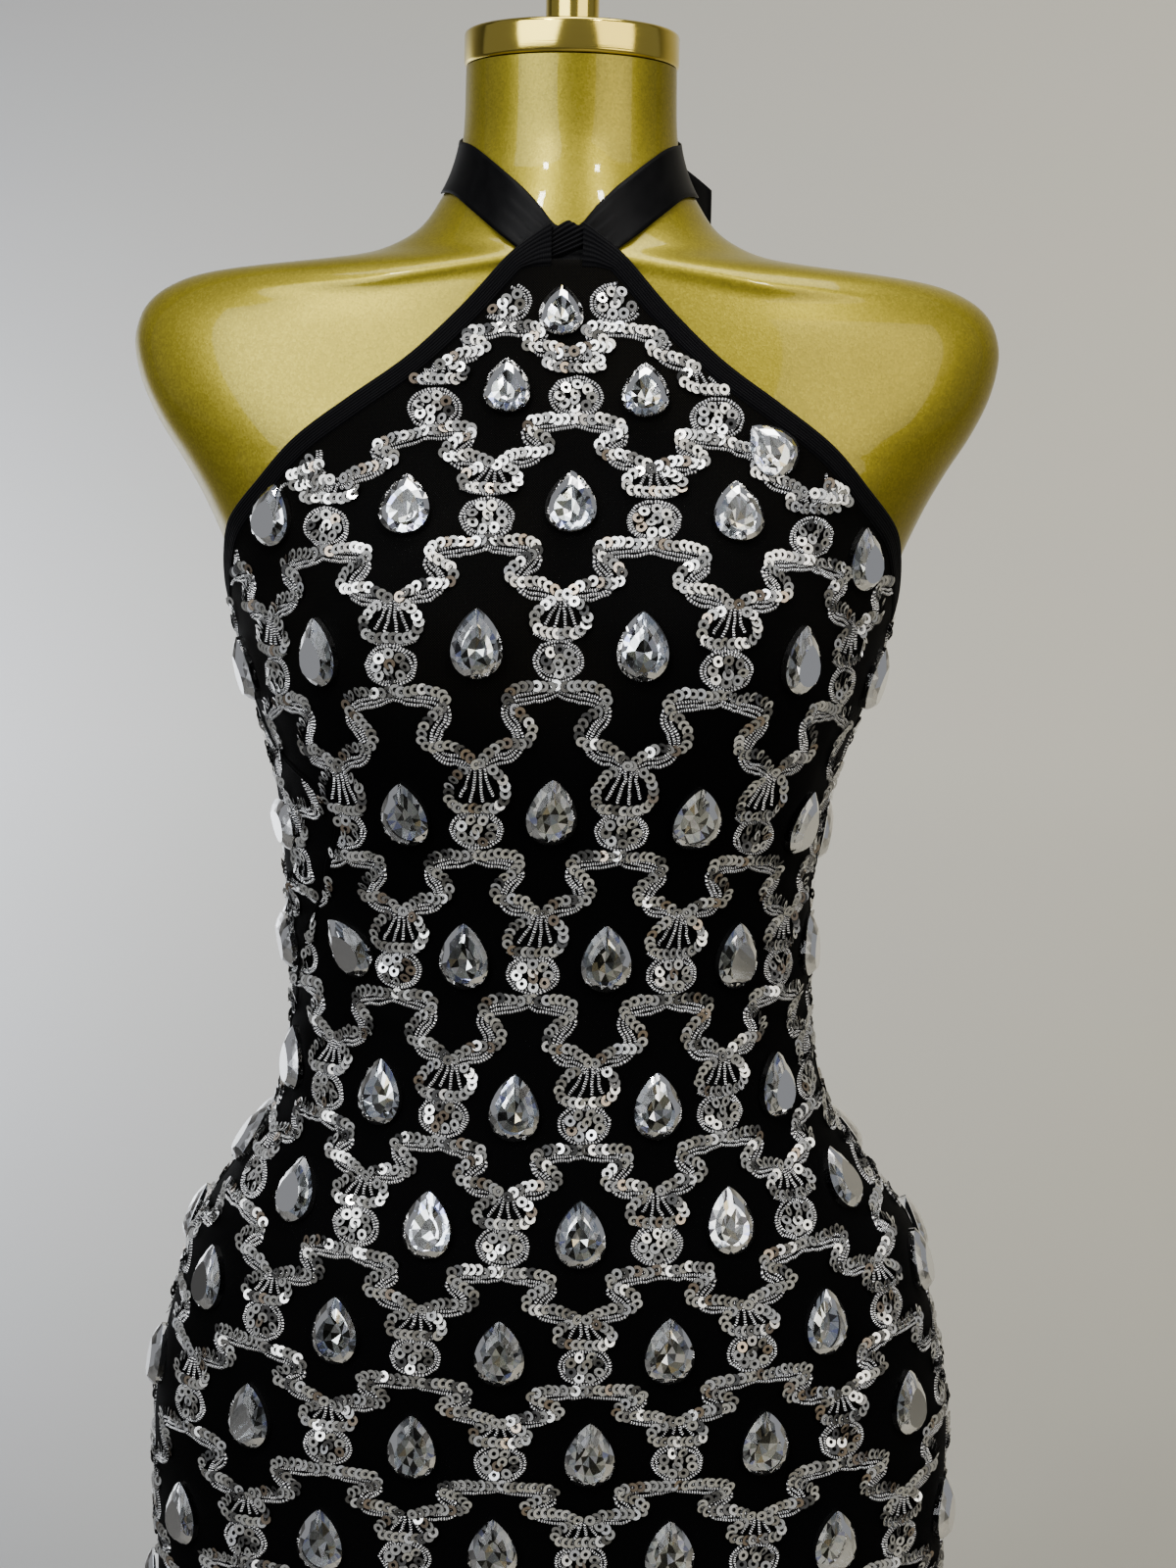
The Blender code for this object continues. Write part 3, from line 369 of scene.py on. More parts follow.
def read_rows(rows, keys):
    """Columns of a table at any keys: a smooth curve through rows, never past them."""
    table = np.array(rows, dtype=float)
    known, columns = table[:, 0], table[:, 1:]
    keys = np.clip(np.atleast_1d(np.asarray(keys, dtype=float)), known[0], known[-1])
    low = np.clip(np.searchsorted(known, keys) - 1, 0, len(known) - 2)
    before, after = np.maximum(low - 1, 0), np.minimum(low + 2, len(known) - 1)
    span = (known[low + 1] - known[low])[:, None]
    change = columns[low + 1] - columns[low]
    slope_in = (columns[low + 1] - columns[before]) / (known[low + 1] - known[before])[:, None]
    slope_out = (columns[after] - columns[low]) / (known[after] - known[low])[:, None]
    limited = []
    for slope in (slope_in * span, slope_out * span):
        held = np.sign(change) * np.minimum(np.abs(slope), 3 * np.abs(change))
        limited.append(np.where(slope * change <= 0, 0.0, held))
    share = (keys - known[low])[:, None] / span
    values = columns[low] * (2 * share**3 - 3 * share**2 + 1)
    values += limited[0] * (share**3 - 2 * share**2 + share)
    values += columns[low + 1] * (3 * share**2 - 2 * share**3)
    values += limited[1] * (share**3 - share**2)
    return values.T


def outline_points(heights, turns, bust, eases=None):
    """Points (row, turn) of the figure, or of the dress when eases are given."""
    half_width, front, back, squareness = read_rows(FIGURE, heights)[:, :, None]
    left = right = half_width
    if eases is not None:
        ease = read_rows(eases, heights)[:, :, None]
        left, right = left + ease[0], right + ease[1]
        front, back = front + ease[2], back + ease[3]
    across, ahead = np.sin(turns)[None, :], np.cos(turns)[None, :]
    x = np.sign(across) * np.where(across > 0, right, left)
    x = x * np.abs(across) ** (2 / squareness)
    side, height, depth, inner, outer, above, below = bust
    off = np.abs(x) - side
    up = np.asarray(heights)[:, None] - height
    mound = depth * np.exp(
        -((off / np.where(off < 0, inner, outer)) ** 2)
        - (up / np.where(up > 0, above, below)) ** 2
    )
    depth_here = np.abs(ahead) ** (2 / squareness)
    in_front = -front * depth_here - mound * np.minimum(1.0, 2 * np.abs(ahead))
    y = np.where(ahead > 0, in_front, back * depth_here)
    return np.stack([x, y, np.broadcast_to(np.asarray(heights)[:, None], x.shape)], axis=-1)


form_heights = np.concatenate(
    [
        [TORSO_BOTTOM, TORSO_BOTTOM + 0.0015, TORSO_BOTTOM + 0.004, TORSO_BOTTOM + 0.009],
        np.arange(TORSO_BOTTOM + 0.016, 1.260, 0.006),
        np.arange(1.260, 1.430, 0.0012),
        np.arange(1.432, NECK_TOP, 0.004),
        [NECK_TOP],
    ]
)
form_turns = np.arange(FORM_SIDES) * math.tau / FORM_SIDES
form_points = outline_points(form_heights, form_turns, FORM_BUST)
# The shoulders are evened out: the table's rows would show as rings in the gloss.
even = (form_heights > 1.29) & (form_heights < 1.40)
for axis, spread in ((0, 2), (1, 5)):
    weights = np.exp(-((np.arange(-12, 13) / spread) ** 2) / 2)
    weights /= weights.sum()
    rows = np.flatnonzero(even)
    reached = rows[:, None] + np.arange(-12, 13)[None, :]
    weighted = form_points[reached, :, axis] * weights[None, :, None]
    form_points[rows, :, axis] = weighted.sum(axis=1)
# The lower rim is rounded in.
form_points[:4, :, :2] *= np.array([0.93, 0.965, 0.983, 0.995])[:, None, None]
chest_x, chest_z = form_points[:, :, 0], form_points[:, :, 2]
off_centre = np.abs(chest_x)
# Each collarbone runs out from the throat's hollow and down, then nearly level.
bone_height = COLLARBONE_HEIGHT - 0.17 * np.clip(off_centre - 0.025, 0, 0.063)
bone_height -= 0.05 * np.maximum(off_centre - 0.088, 0)
above_bone = chest_z - bone_height
bone = np.exp(-((above_bone / np.where(above_bone > 0, 0.0070, 0.0030)) ** 2))
bone *= np.clip((off_centre - 0.012) / 0.012, 0, 1)
bone *= np.clip((0.150 - off_centre) / 0.07, 0, 1)
form_points[:, :, 1] -= COLLARBONE_RISE * bone * (form_points[:, :, 1] < 0)
flake = new_material(
    "gold_flake", FORM_GOLD, 0.62, 0.37,
    Specular_Tint=(0.45, 0.39, 0.12, 1.0), Coat_Weight=0.55, Coat_IOR=1.40, Coat_Roughness=0.04,
)
flake_place = add_node(flake, "ShaderNodeTexCoord").outputs["Object"]
flakes = add_node(flake, "ShaderNodeTexVoronoi", flake_place, Scale=1100.0).outputs
drift = add_node(flake, "ShaderNodeTexNoise", flake_place, Scale=9.0, Detail=3.0)
speckle = add_node(
    flake, "ShaderNodeMix", data_type="RGBA",
    Factor=0.30, A=drift.outputs["Fac"], B=flakes["Color"],
)
paint_by(
    flake,
    speckle.outputs["Result"],
    [(0.25, FLAKE_DARK), (0.55, FORM_GOLD), (0.80, FLAKE_BRIGHT)],
)
add_bump(flake, flakes["Distance"], 0.00005, 0.5)
form_shell = grid_piece("dress_form_shell", form_points, flake, wrap=True)
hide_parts("form_torso")
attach(form_shell, "root")

# The cap of the neck: a spun ring with a fine rolled edge, and a short round post
# with a domed top. Both are polished brass with gold plate.
RING_BOTTOM = 1.4658
RING_TOP = 1.4815
RING_RADIUS = 0.0496
POST_TOP = 1.5298
POST_RADIUS = 0.0123
ring_profile = [
    (0.0, RING_TOP - 0.0006),
    (RING_RADIUS - 0.0060, RING_TOP - 0.0006),
    (RING_RADIUS - 0.0045, RING_TOP - 0.0002),
    (RING_RADIUS - 0.0030, RING_TOP),
    (RING_RADIUS - 0.0012, RING_TOP - 0.0002),
    (RING_RADIUS - 0.0003, RING_TOP - 0.0009),
    (RING_RADIUS, RING_TOP - 0.0020),
    (RING_RADIUS, RING_BOTTOM + 0.0016),
    (RING_RADIUS - 0.0004, RING_BOTTOM + 0.0006),
    (RING_RADIUS - 0.0012, RING_BOTTOM),
    (0.0, RING_BOTTOM),
]
post_profile = [(0.0, POST_TOP)]
for step in range(1, 9):
    turn = math.radians(90 * step / 8)
    post_profile.append(
        (POST_RADIUS * math.sin(turn) ** 0.8, POST_TOP - 0.0075 * (1 - math.cos(turn)))
    )
post_profile += [
    (POST_RADIUS, RING_TOP + 0.0030),
    (POST_RADIUS + 0.0008, RING_TOP + 0.0004),
    (0.0, RING_TOP + 0.0003),
]
ring_plate = gold_plating("ring_gold", 1500.0)
neck_ring = turned_piece("neck_cap_ring", ring_profile, ring_plate, 160)
neck_post = turned_piece("neck_cap_post", post_profile, ring_plate, 96)
for piece, node in ((neck_ring, "neck_ring"), (neck_post, "neck_post")):
    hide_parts(node)
    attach(piece, "root")

# The dress: a front and a back panel of fine black stretch mesh, joined at two side
# seams and turned up at the hem. The mesh clings to the form down to the hips, is
# pulled a little askew at the left waist, and hangs below in soft flutes.
WALL = 0.0016
PANEL_THICKNESS = 0.0008
NET_PITCH = 0.0011
MESH_BLACK = (0.0014, 0.0014, 0.0016)
HEM = 0.095
SEAM_TOP = 1.2165
TAPE_WIDTH = 0.0095
FRONT_TOP = 1.3728
TAPE_OVERLAP = 0.20
CLOTH_BUST = (0.076, 1.203, 0.026, 0.085, 0.055, 0.060, 0.085)
EASES = [
    # height, left, right, front, back
    (0.090, 0.004, 0.004, 0.004, 0.004), (0.880, 0.004, 0.004, 0.004, 0.004),
    (0.925, 0.0065, 0.0075, 0.005, 0.006), (0.980, 0.007, 0.004, 0.005, 0.007),
    (1.030, 0.010, 0.004, 0.007, 0.010), (1.100, 0.013, 0.003, 0.007, 0.012),
    (1.150, 0.008, 0.003, 0.006, 0.008), (1.190, 0.004, 0.003, 0.004, 0.004),
    (1.400, 0.004, 0.003, 0.004, 0.004),
]
FLUTES = [
    # place and width as shares of the girth, depth, top
    (-0.445, 0.044, 0.014, 0.58), (-0.300, 0.040, 0.017, 0.64),
    (-0.160, 0.042, 0.013, 0.54), (-0.035, 0.038, 0.016, 0.62),
    (0.115, 0.044, 0.014, 0.56), (0.255, 0.040, 0.018, 0.66),
    (0.395, 0.042, 0.013, 0.60),
]
DRAG_FOLDS = [
    # reach, height, slant in degrees from level, half length, half width, rise
    (-0.110, 1.105, 24, 0.045, 0.006, 0.0016), (-0.118, 1.072, 12, 0.050, 0.007, 0.0018),
    (-0.105, 1.040, -6, 0.045, 0.006, 0.0015), (-0.125, 1.010, -20, 0.050, 0.007, 0.0014),
    (0.120, 1.085, -14, 0.040, 0.006, 0.0012), (0.125, 1.045, 4, 0.045, 0.006, 0.0014),
    (0.118, 1.008, 18, 0.045, 0.006, 0.0012), (-0.060, 1.245, 38, 0.050, 0.007, 0.0010),
    (0.065, 1.250, -36, 0.050, 0.007, 0.0010), (0.200, 1.060, 8, 0.050, 0.007, 0.0014),
    (-0.210, 1.060, -10, 0.050, 0.007, 0.0016), (0.265, 1.030, -8, 0.050, 0.008, 0.0014),
    (-0.270, 1.020, 10, 0.050, 0.008, 0.0014),
]
SEAM_SHIFTS = [
    # height, left, right
    (0.980, 0.000, 0.000), (1.010, 0.008, 0.008), (1.0665, 0.041, 0.012),
    (1.100, 0.066, 0.012), (1.128, 0.081, 0.010), (1.141, 0.068, 0.008),
    (1.156, 0.033, 0.006), (1.172, 0.0095, 0.003), (1.195, 0.000, 0.000),
]
ARMHOLE = [
    # along: outer reach, outer height, inner reach, inner height, from the throat down
    (0, 0.0068, 1.3900, 0.0068, 1.3692), (1, 0.0129, 1.3855, 0.0129, 1.3690),
    (2, 0.0260, 1.3745, 0.0190, 1.3680), (3, 0.0460, 1.3520, 0.0392, 1.3454),
    (4, 0.0690, 1.3300, 0.0630, 1.3227), (5, 0.0950, 1.3115, 0.0895, 1.3037),
    (6, 0.1190, 1.2945, 0.1131, 1.2871), (7, 0.1410, 1.2750, 0.1351, 1.2676),
    (8, 0.1650, 1.2580, 0.1591, 1.2505), (9, 0.1800, 1.2450, 0.1739, 1.2377),
    (10, 0.1960, 1.2320, 0.1898, 1.2248),
]
BACK_EDGE = [
    # reach from the centre back, height
    (0.000, 1.118), (0.035, 1.121), (0.070, 1.131), (0.105, 1.148), (0.140, 1.171),
    (0.170, 1.192), (0.195, 1.208),
]

shell_heights = np.arange(HEM - 0.006, 1.404, 0.003)
shell_shares = np.linspace(0.0, 1.0, 721)
shell_turns = np.linspace(0.0, math.tau, 721)
raw_outline = outline_points(shell_heights, shell_turns, CLOTH_BUST, EASES)
walked = np.cumsum(np.linalg.norm(np.diff(raw_outline, axis=1), axis=2), axis=1)
walked = np.concatenate([np.zeros((len(shell_heights), 1)), walked], axis=1)
shell_girths = walked[:, -1]
shell = np.empty_like(raw_outline)
for k in range(len(shell_heights)):
    for axis in range(3):
        shell[k, :, axis] = np.interp(
            shell_shares * shell_girths[k], walked[k], raw_outline[k, :, axis]
        )


def soft_step(share):
    """A soft change from 0 to 1."""
    share = np.clip(share, 0.0, 1.0)
    return share * share * (3 - 2 * share)


def unit(vectors):
    """Vectors of length one in the same directions."""
    return vectors / np.maximum(np.linalg.norm(vectors, axis=-1, keepdims=True), 1e-9)


def shell_slopes(points):
    """Directions along the girth, up, and out, at each point of the shell."""
    looped = np.concatenate([points[:, -2:-1], points, points[:, 1:2]], axis=1)
    along = unit(looped[:, 2:] - looped[:, :-2])
    out = unit(np.cross(along, np.gradient(points, axis=0)))
    return along, np.cross(out, along), out


level_along = shell_slopes(shell)[0]
level_out = np.stack(
    [level_along[:, :, 1], -level_along[:, :, 0], np.zeros(shell.shape[:2])], axis=-1
)
swell = np.zeros(shell.shape[:2])
for place, width, depth, top in FLUTES:
    away = (shell_shares - place + 0.5) % 1.0 - 0.5
    fall = soft_step((top - shell_heights) / (top - HEM))
    swell += depth * fall[:, None] * np.exp(-((away / width) ** 2))[None, :]
shell_reach = ((shell_shares + 0.5) % 1.0 - 0.5)[None, :] * shell_girths[:, None]
for reach, height, slant, half_length, half_width, rise in DRAG_FOLDS:
    cosine, sine = math.cos(math.radians(slant)), math.sin(math.radians(slant))
    beside, above = shell_reach - reach, shell_heights[:, None] - height
    lengthwise = (beside * cosine + above * sine) / half_length
    crosswise = (above * cosine - beside * sine) / half_width
    swell += rise * np.exp(-(lengthwise**2) - crosswise**2) * (1 - 0.5 * crosswise**2)
shell += level_out * swell[:, :, None]
shell_frame = np.concatenate([shell, *shell_slopes(shell)], axis=2)


def girth(height):
    """Length round the cloth at a height."""
    return np.interp(height, shell_heights, shell_girths)


def on_cloth(reach, height, lift=0.0):
    """Points off the cloth's inside, and the directions along, up and out there."""
    reach, height, lift = np.broadcast_arrays(reach, height, lift)
    share = (reach / girth(height)) % 1.0 * (len(shell_shares) - 1)
    row = (height - shell_heights[0]) / (shell_heights[1] - shell_heights[0])
    row = np.clip(row, 0, len(shell_heights) - 1.001)
    column, low = np.floor(share).astype(int), np.floor(row).astype(int)
    column = np.minimum(column, len(shell_shares) - 2)
    side, rise = (share - column)[..., None], (row - low)[..., None]
    found = shell_frame[low, column] * (1 - side) * (1 - rise)
    found = found + shell_frame[low, column + 1] * side * (1 - rise)
    found = found + shell_frame[low + 1, column] * (1 - side) * rise
    found = found + shell_frame[low + 1, column + 1] * side * rise
    point, along, up, out = np.split(found, 4, axis=-1)
    return point + out * lift[..., None], along, up, out


def left_seam(height):
    """Reach of the left side seam, below zero."""
    return -girth(height) / 4 + read_rows(SEAM_SHIFTS, np.ravel(height))[0]


def right_seam(height):
    """Reach of the right side seam."""
    return girth(height) / 4 - read_rows(SEAM_SHIFTS, np.ravel(height))[1]


armhole = np.array(ARMHOLE)[::-1]
armhole_reaches = armhole[:, 3] + TAPE_OVERLAP * (armhole[:, 1] - armhole[:, 3])
armhole_heights = armhole[:, 4] + TAPE_OVERLAP * (armhole[:, 2] - armhole[:, 4])
seam_low = np.linspace(HEM, SEAM_TOP - TAPE_WIDTH, 240)


def front_edge(height, seam, sign):
    """Reach of the front panel's side edge: its seam, then just under its armhole tape."""
    heights = np.concatenate([seam_low, armhole_heights])
    return np.interp(height, heights, np.concatenate([seam(seam_low), sign * armhole_reaches]))


front_heights = np.concatenate(
    [np.linspace(HEM, 0.70, 90), np.linspace(0.704, 1.24, 150), np.linspace(1.243, FRONT_TOP, 50)]
)
front_sides = np.linspace(0.0, 1.0, 121)
left_edges = front_edge(front_heights, left_seam, -1)
right_edges = front_edge(front_heights, right_seam, 1)
front_reach = left_edges[:, None] + (right_edges - left_edges)[:, None] * front_sides[None, :]
front_level = np.broadcast_to(front_heights[:, None], front_reach.shape)

back_sides = np.linspace(-1.0, 1.0, 121)
back_tops = np.full(len(back_sides), SEAM_TOP)
for _ in range(8):
    half_back = girth(back_tops) / 2 - np.where(
        back_sides < 0, right_seam(back_tops), -left_seam(back_tops)
    )
    back_tops = read_rows(BACK_EDGE, np.abs(back_sides) * half_back)[0] - TAPE_WIDTH
back_shares = np.concatenate([np.linspace(0, 0.55, 90), np.linspace(0.553, 1.0, 130)])
back_level = HEM + back_shares[:, None] * (back_tops - HEM)[None, :]
back_right = right_seam(back_level.ravel()).reshape(back_level.shape)
back_left = left_seam(back_level.ravel()).reshape(back_level.shape) + girth(back_level)
back_reach = back_right + (back_left - back_right) * (back_sides[None, :] + 1) / 2


def cloth_place(material):
    """A material's place on its cloth, in metres: both at once, along, and up."""
    place = add_node(material, "ShaderNodeUVMap", uv_map="cloth").outputs["UV"]
    axes = add_node(material, "ShaderNodeSeparateXYZ", place).outputs
    return place, axes["X"], axes["Y"]


def join_numbers(material, operation, *numbers):
    """One number from others, by a named operation."""
    return add_node(material, "ShaderNodeMath", *numbers, operation=operation).outputs[0]


def cloth_wave(material, place, pitch):
    """A wave across a cloth, from -1 to 1, with its pitch in metres."""
    return join_numbers(
        material, "SINE", join_numbers(material, "MULTIPLY", place, math.tau / pitch)
    )


mesh_cloth = new_material(
    "black_stretch_mesh", MESH_BLACK, 0.0, 0.72,
    Sheen_Weight=0.02, Sheen_Roughness=0.45, Specular_IOR_Level=0.06,
)
_, mesh_along, mesh_up = cloth_place(mesh_cloth)
net_along = cloth_wave(mesh_cloth, mesh_along, NET_PITCH)
net_up = cloth_wave(mesh_cloth, mesh_up, NET_PITCH)
net_holes = join_numbers(mesh_cloth, "MULTIPLY", net_along, net_up)
# Above the bust the mesh's holes are painted faint gold-brown where the cloth stretches: the gold
# form seen through them, with a painted glimmer of its highlights.
form_place = add_node(mesh_cloth, "ShaderNodeTexCoord").outputs["Object"]
form_height = add_node(mesh_cloth, "ShaderNodeSeparateXYZ", form_place).outputs["Z"]
near_bust = add_node(
    mesh_cloth, "ShaderNodeMapRange", form_height, From_Min=1.13, From_Max=1.19
).outputs["Result"]
stretch = add_node(mesh_cloth, "ShaderNodeTexNoise", form_place, Scale=9.0).outputs["Fac"]
stretched = join_numbers(mesh_cloth, "MULTIPLY", near_bust, stretch)
seen_gold_and_painted_glimmer = join_numbers(mesh_cloth, "MULTIPLY", net_holes, stretched)
paint_by(
    mesh_cloth,
    seen_gold_and_painted_glimmer,
    [(0.15, MESH_BLACK), (0.40, (0.008, 0.007, 0.005)), (0.80, (0.045, 0.037, 0.020))],
)
add_bump(mesh_cloth, net_holes, 0.00012, 0.5)


def thicken(piece, thickness, offset):
    """Give a sheet its thickness; an offset of -1 puts it all behind the outer face."""
    wall = piece.modifiers.new("wall", "SOLIDIFY")
    wall.thickness, wall.offset = thickness, offset


def cloth_piece(name, reach, level, lift, material, uvs, wrap=False):
    """A piece laid on the cloth, from rows of reach, height and lift."""
    points = on_cloth(reach, level, lift)[0]
    return grid_piece(name, points, material, np.stack(uvs, axis=-1), wrap)


def cloth_panel(name, reach, level, middle):
    """A panel of mesh, with its places taken from the panel's middle."""
    panel = cloth_piece(name, reach, level, WALL, mesh_cloth, [reach - middle, level])
    thicken(panel, PANEL_THICKNESS, -1.0)
    return panel


front_panel = cloth_panel("front_panel", front_reach, front_level, 0.0)
back_panel = cloth_panel("back_panel", back_reach, back_level, girth(back_level) / 2)

# The hem is the mesh turned up twice and coverstitched; each side seam is overlocked
# inside, so that only a narrow ridge with its crease shows outside.
SEAM_RIDGE = 0.0022
ridge_section = np.array(
    # across as a share of the ridge, lift over the mesh
    [(-1.0, -0.0004), (-0.7, 0.0003), (-0.25, 0.0006), (0.0, 0.0002), (0.25, 0.0006),
     (0.7, 0.0003), (1.0, -0.0004)]
)
side_ridges = []
ridge_heights = np.linspace(HEM + 0.001, SEAM_TOP - TAPE_WIDTH, 330)
for side, seam in (("left", left_seam), ("right", right_seam)):
    places = seam(ridge_heights)
    slope = np.gradient(places, ridge_heights)
    square = 1 / np.hypot(1.0, slope)
    across = ridge_section[None, :, 0] * SEAM_RIDGE
    reach = places[:, None] + across * square[:, None]
    level = ridge_heights[:, None] - across * (slope * square)[:, None]
    lift = WALL + ridge_section[None, :, 1]
    side_ridges.append(
        cloth_piece(f"side_seam_{side}", reach, level, lift, mesh_cloth, [reach, level])
    )
hem_section = np.array(
    # height over the hem's edge, lift over the cloth's inside
    [(0.0125, 0.0014), (0.0121, 0.0021), (0.0108, 0.0024), (0.0095, 0.0021), (0.0082, 0.0024),
     (0.0040, 0.0025), (0.0008, 0.0023), (0.0, 0.0015), (0.0, 0.0004), (0.0010, -0.0003),
     (0.0100, -0.0003)]
)
hem_shares = np.linspace(0.0, 1.0, 361)[:-1]
hem_level = HEM + np.broadcast_to(hem_section[:, :1], (len(hem_section), len(hem_shares)))
hem_reach = hem_shares[None, :] * girth(hem_level)
hem_places = [hem_reach, hem_level]
hem_fold = cloth_piece(
    "hem_fold", *hem_places, hem_section[:, 1:], mesh_cloth, hem_places, wrap=True
)
for piece in (front_panel, back_panel, *side_ridges, hem_fold):
    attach(piece, "root")
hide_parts("dress_front")
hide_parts("dress_back")

# Elastic tape binds both armholes and the low back: a knitted band folded over the
# raw edge and sewn through, with fine lengthwise ribs.
TAPE_LIFT = 0.0026
TAPE_BLACK = (0.004, 0.004, 0.005)
TAPE_RIB, TAPE_KNIT = 0.0011, 0.0008
tape_section = np.array(
    # across from the outer to the inner edge, share of the lift
    [(0.02, 0.05), (0.0, 0.45), (0.05, 0.80), (0.14, 0.97), (0.32, 1.0), (0.50, 0.93),
     (0.68, 1.0), (0.86, 0.97), (0.95, 0.80), (1.0, 0.45), (0.98, 0.05)]
)
elastic = new_material(
    "knitted_elastic", TAPE_BLACK, 0.0, 0.80, Sheen_Weight=0.03, Specular_IOR_Level=0.10
)
_, tape_along, tape_across = cloth_place(elastic)
ribs = cloth_wave(elastic, tape_across, TAPE_RIB)
knit = cloth_wave(elastic, tape_along, TAPE_KNIT)
tape_ribs_and_painted_shade = join_numbers(elastic, "ADD", ribs, join_numbers(elastic, "MULTIPLY", knit, 0.35))
# The tape's colour follows its ribs and knit: painted shade in the grooves, lighter on the rib
# tops.
paint_by(elastic, tape_ribs_and_painted_shade, [(0.0, (0.002, 0.002, 0.003)), (0.9, (0.008, 0.008, 0.009))])
add_bump(elastic, tape_ribs_and_painted_shade, 0.00022, 0.8)


def run_along(line):
    """Length run along a line, at each of its points."""
    steps = np.linalg.norm(np.diff(line, axis=0), axis=1)
    return np.concatenate([[0.0], np.cumsum(steps)])


def edge_tape(name, outer, inner, node):
    """A tape between two lines of (reach, height) on the cloth."""
    share = tape_section[None, :, 0]
    reach = outer[0][:, None] * (1 - share) + inner[0][:, None] * share
    level = outer[1][:, None] * (1 - share) + inner[1][:, None] * share
    points = on_cloth(reach, level, tape_section[None, :, 1] * TAPE_LIFT)[0]
    uvs = np.broadcast_arrays(run_along(points[:, 5])[:, None], share * TAPE_WIDTH)
    tape = grid_piece(name, points, elastic, np.stack(uvs, axis=-1))
    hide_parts(node)
    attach(tape, "root")


def from_centre_front(reach, height, is_back):
    """Reach from the centre front, of a reach from a panel's middle."""
    return reach + (girth(height) / 2 if is_back else 0.0)


for side, sign, seam in (("left", -1, left_seam), ("right", 1, right_seam)):
    low = SEAM_TOP - TAPE_WIDTH
    last = (11, abs(seam(SEAM_TOP)[0]), SEAM_TOP, abs(seam(low)[0]), low)
    spots = read_rows([*ARMHOLE, last], np.linspace(0, 11, 150))
    edge_tape(
        f"armhole_binding_{side}",
        (sign * spots[0], spots[1]),
        (sign * spots[2], spots[3]),
        f"armhole_tape_{side}",
    )
scoop_half = girth(SEAM_TOP) / 2 - right_seam(SEAM_TOP)[0]
scoop = np.linspace(-scoop_half, scoop_half, 200)
scoop_outer = read_rows(BACK_EDGE, np.abs(scoop))[0]
scoop_outer += (SEAM_TOP - scoop_outer) * soft_step((np.abs(scoop) - 0.180) / 0.022)
scoop_inner = scoop_outer - TAPE_WIDTH
edge_tape(
    "low_back_binding",
    (from_centre_front(scoop, scoop_outer, True), scoop_outer),
    (from_centre_front(scoop, scoop_inner, True), scoop_inner),
    "back_tape",
)

# The halter tie: one black satin ribbon round the neck, threaded through the casing
# at the throat, where it gathers. The casing is the left tape carried on over the
# ribbon and tucked behind it.
RIBBON_WIDTH = 0.0235
RIBBON_LIFT, RIBBON_LIFT_AT_CASING = 0.0013, 0.0028
RIBBON_THICKNESS = 0.0006
SATIN_THREAD = 0.00045
SATIN_BLACK = (0.003, 0.003, 0.0035)
NECK_RIBBON = [
    # degrees from the front, top, bottom
    (0, 1.3868, 1.3706), (5, 1.3884, 1.3706), (12, 1.3975, 1.3716),
    (22, 1.4070, 1.3805), (40, 1.4190, 1.3945), (60, 1.4275, 1.4045),
    (90, 1.4325, 1.4080), (120, 1.4400, 1.4170), (150, 1.4460, 1.4240),
    (180, 1.4485, 1.4275),
]
RIBBON_PLEATS, PLEAT_DEPTH = 4, 0.0007
NECK_RADIUS = 0.058
# Steps round the neck, in degrees: long ones at the back, short ones among the pleats.
LONG_STEP, SHORT_STEP, PLEATED = 4.0, 1.6, 40
search_turns = np.linspace(0.0, math.pi, 721)


def neck_point(angle, height, lift):
    """Point off the form's neck, by degrees from the front, height and lift."""

    def bearing(at_angle, at_height):
        line = outline_points(np.array([at_height]), search_turns, FORM_BUST)[0]
        bearings = np.degrees(np.arctan2(line[:, 0], -line[:, 1]))
        x = np.interp(abs(at_angle), bearings, line[:, 0])
        y = np.interp(abs(at_angle), bearings, line[:, 1])
        return Vector((math.copysign(x, at_angle), y, at_height))

    ahead = bearing(angle + 1, height) - bearing(angle - 1, height)
    rising = bearing(angle, height + 0.001) - bearing(angle, height - 0.001)
    return bearing(angle, height) + ahead.cross(rising).normalized() * lift


satin = new_material(
    "black_satin", SATIN_BLACK, 0.0, 0.36,
    Sheen_Weight=0.02, Sheen_Roughness=0.35, Anisotropic=0.45, Specular_IOR_Level=0.11,
)
satin_place, _, satin_across = cloth_place(satin)
satin_drift = add_node(satin, "ShaderNodeTexNoise", satin_place, Scale=130.0, Detail=3.0)
paint_by(
    satin,
    satin_drift.outputs["Fac"],
    [(0.3, (0.002, 0.002, 0.0025)), (0.7, (0.005, 0.005, 0.0055))],
)
add_bump(satin, cloth_wave(satin, satin_across, SATIN_THREAD), 0.00003, 0.5)

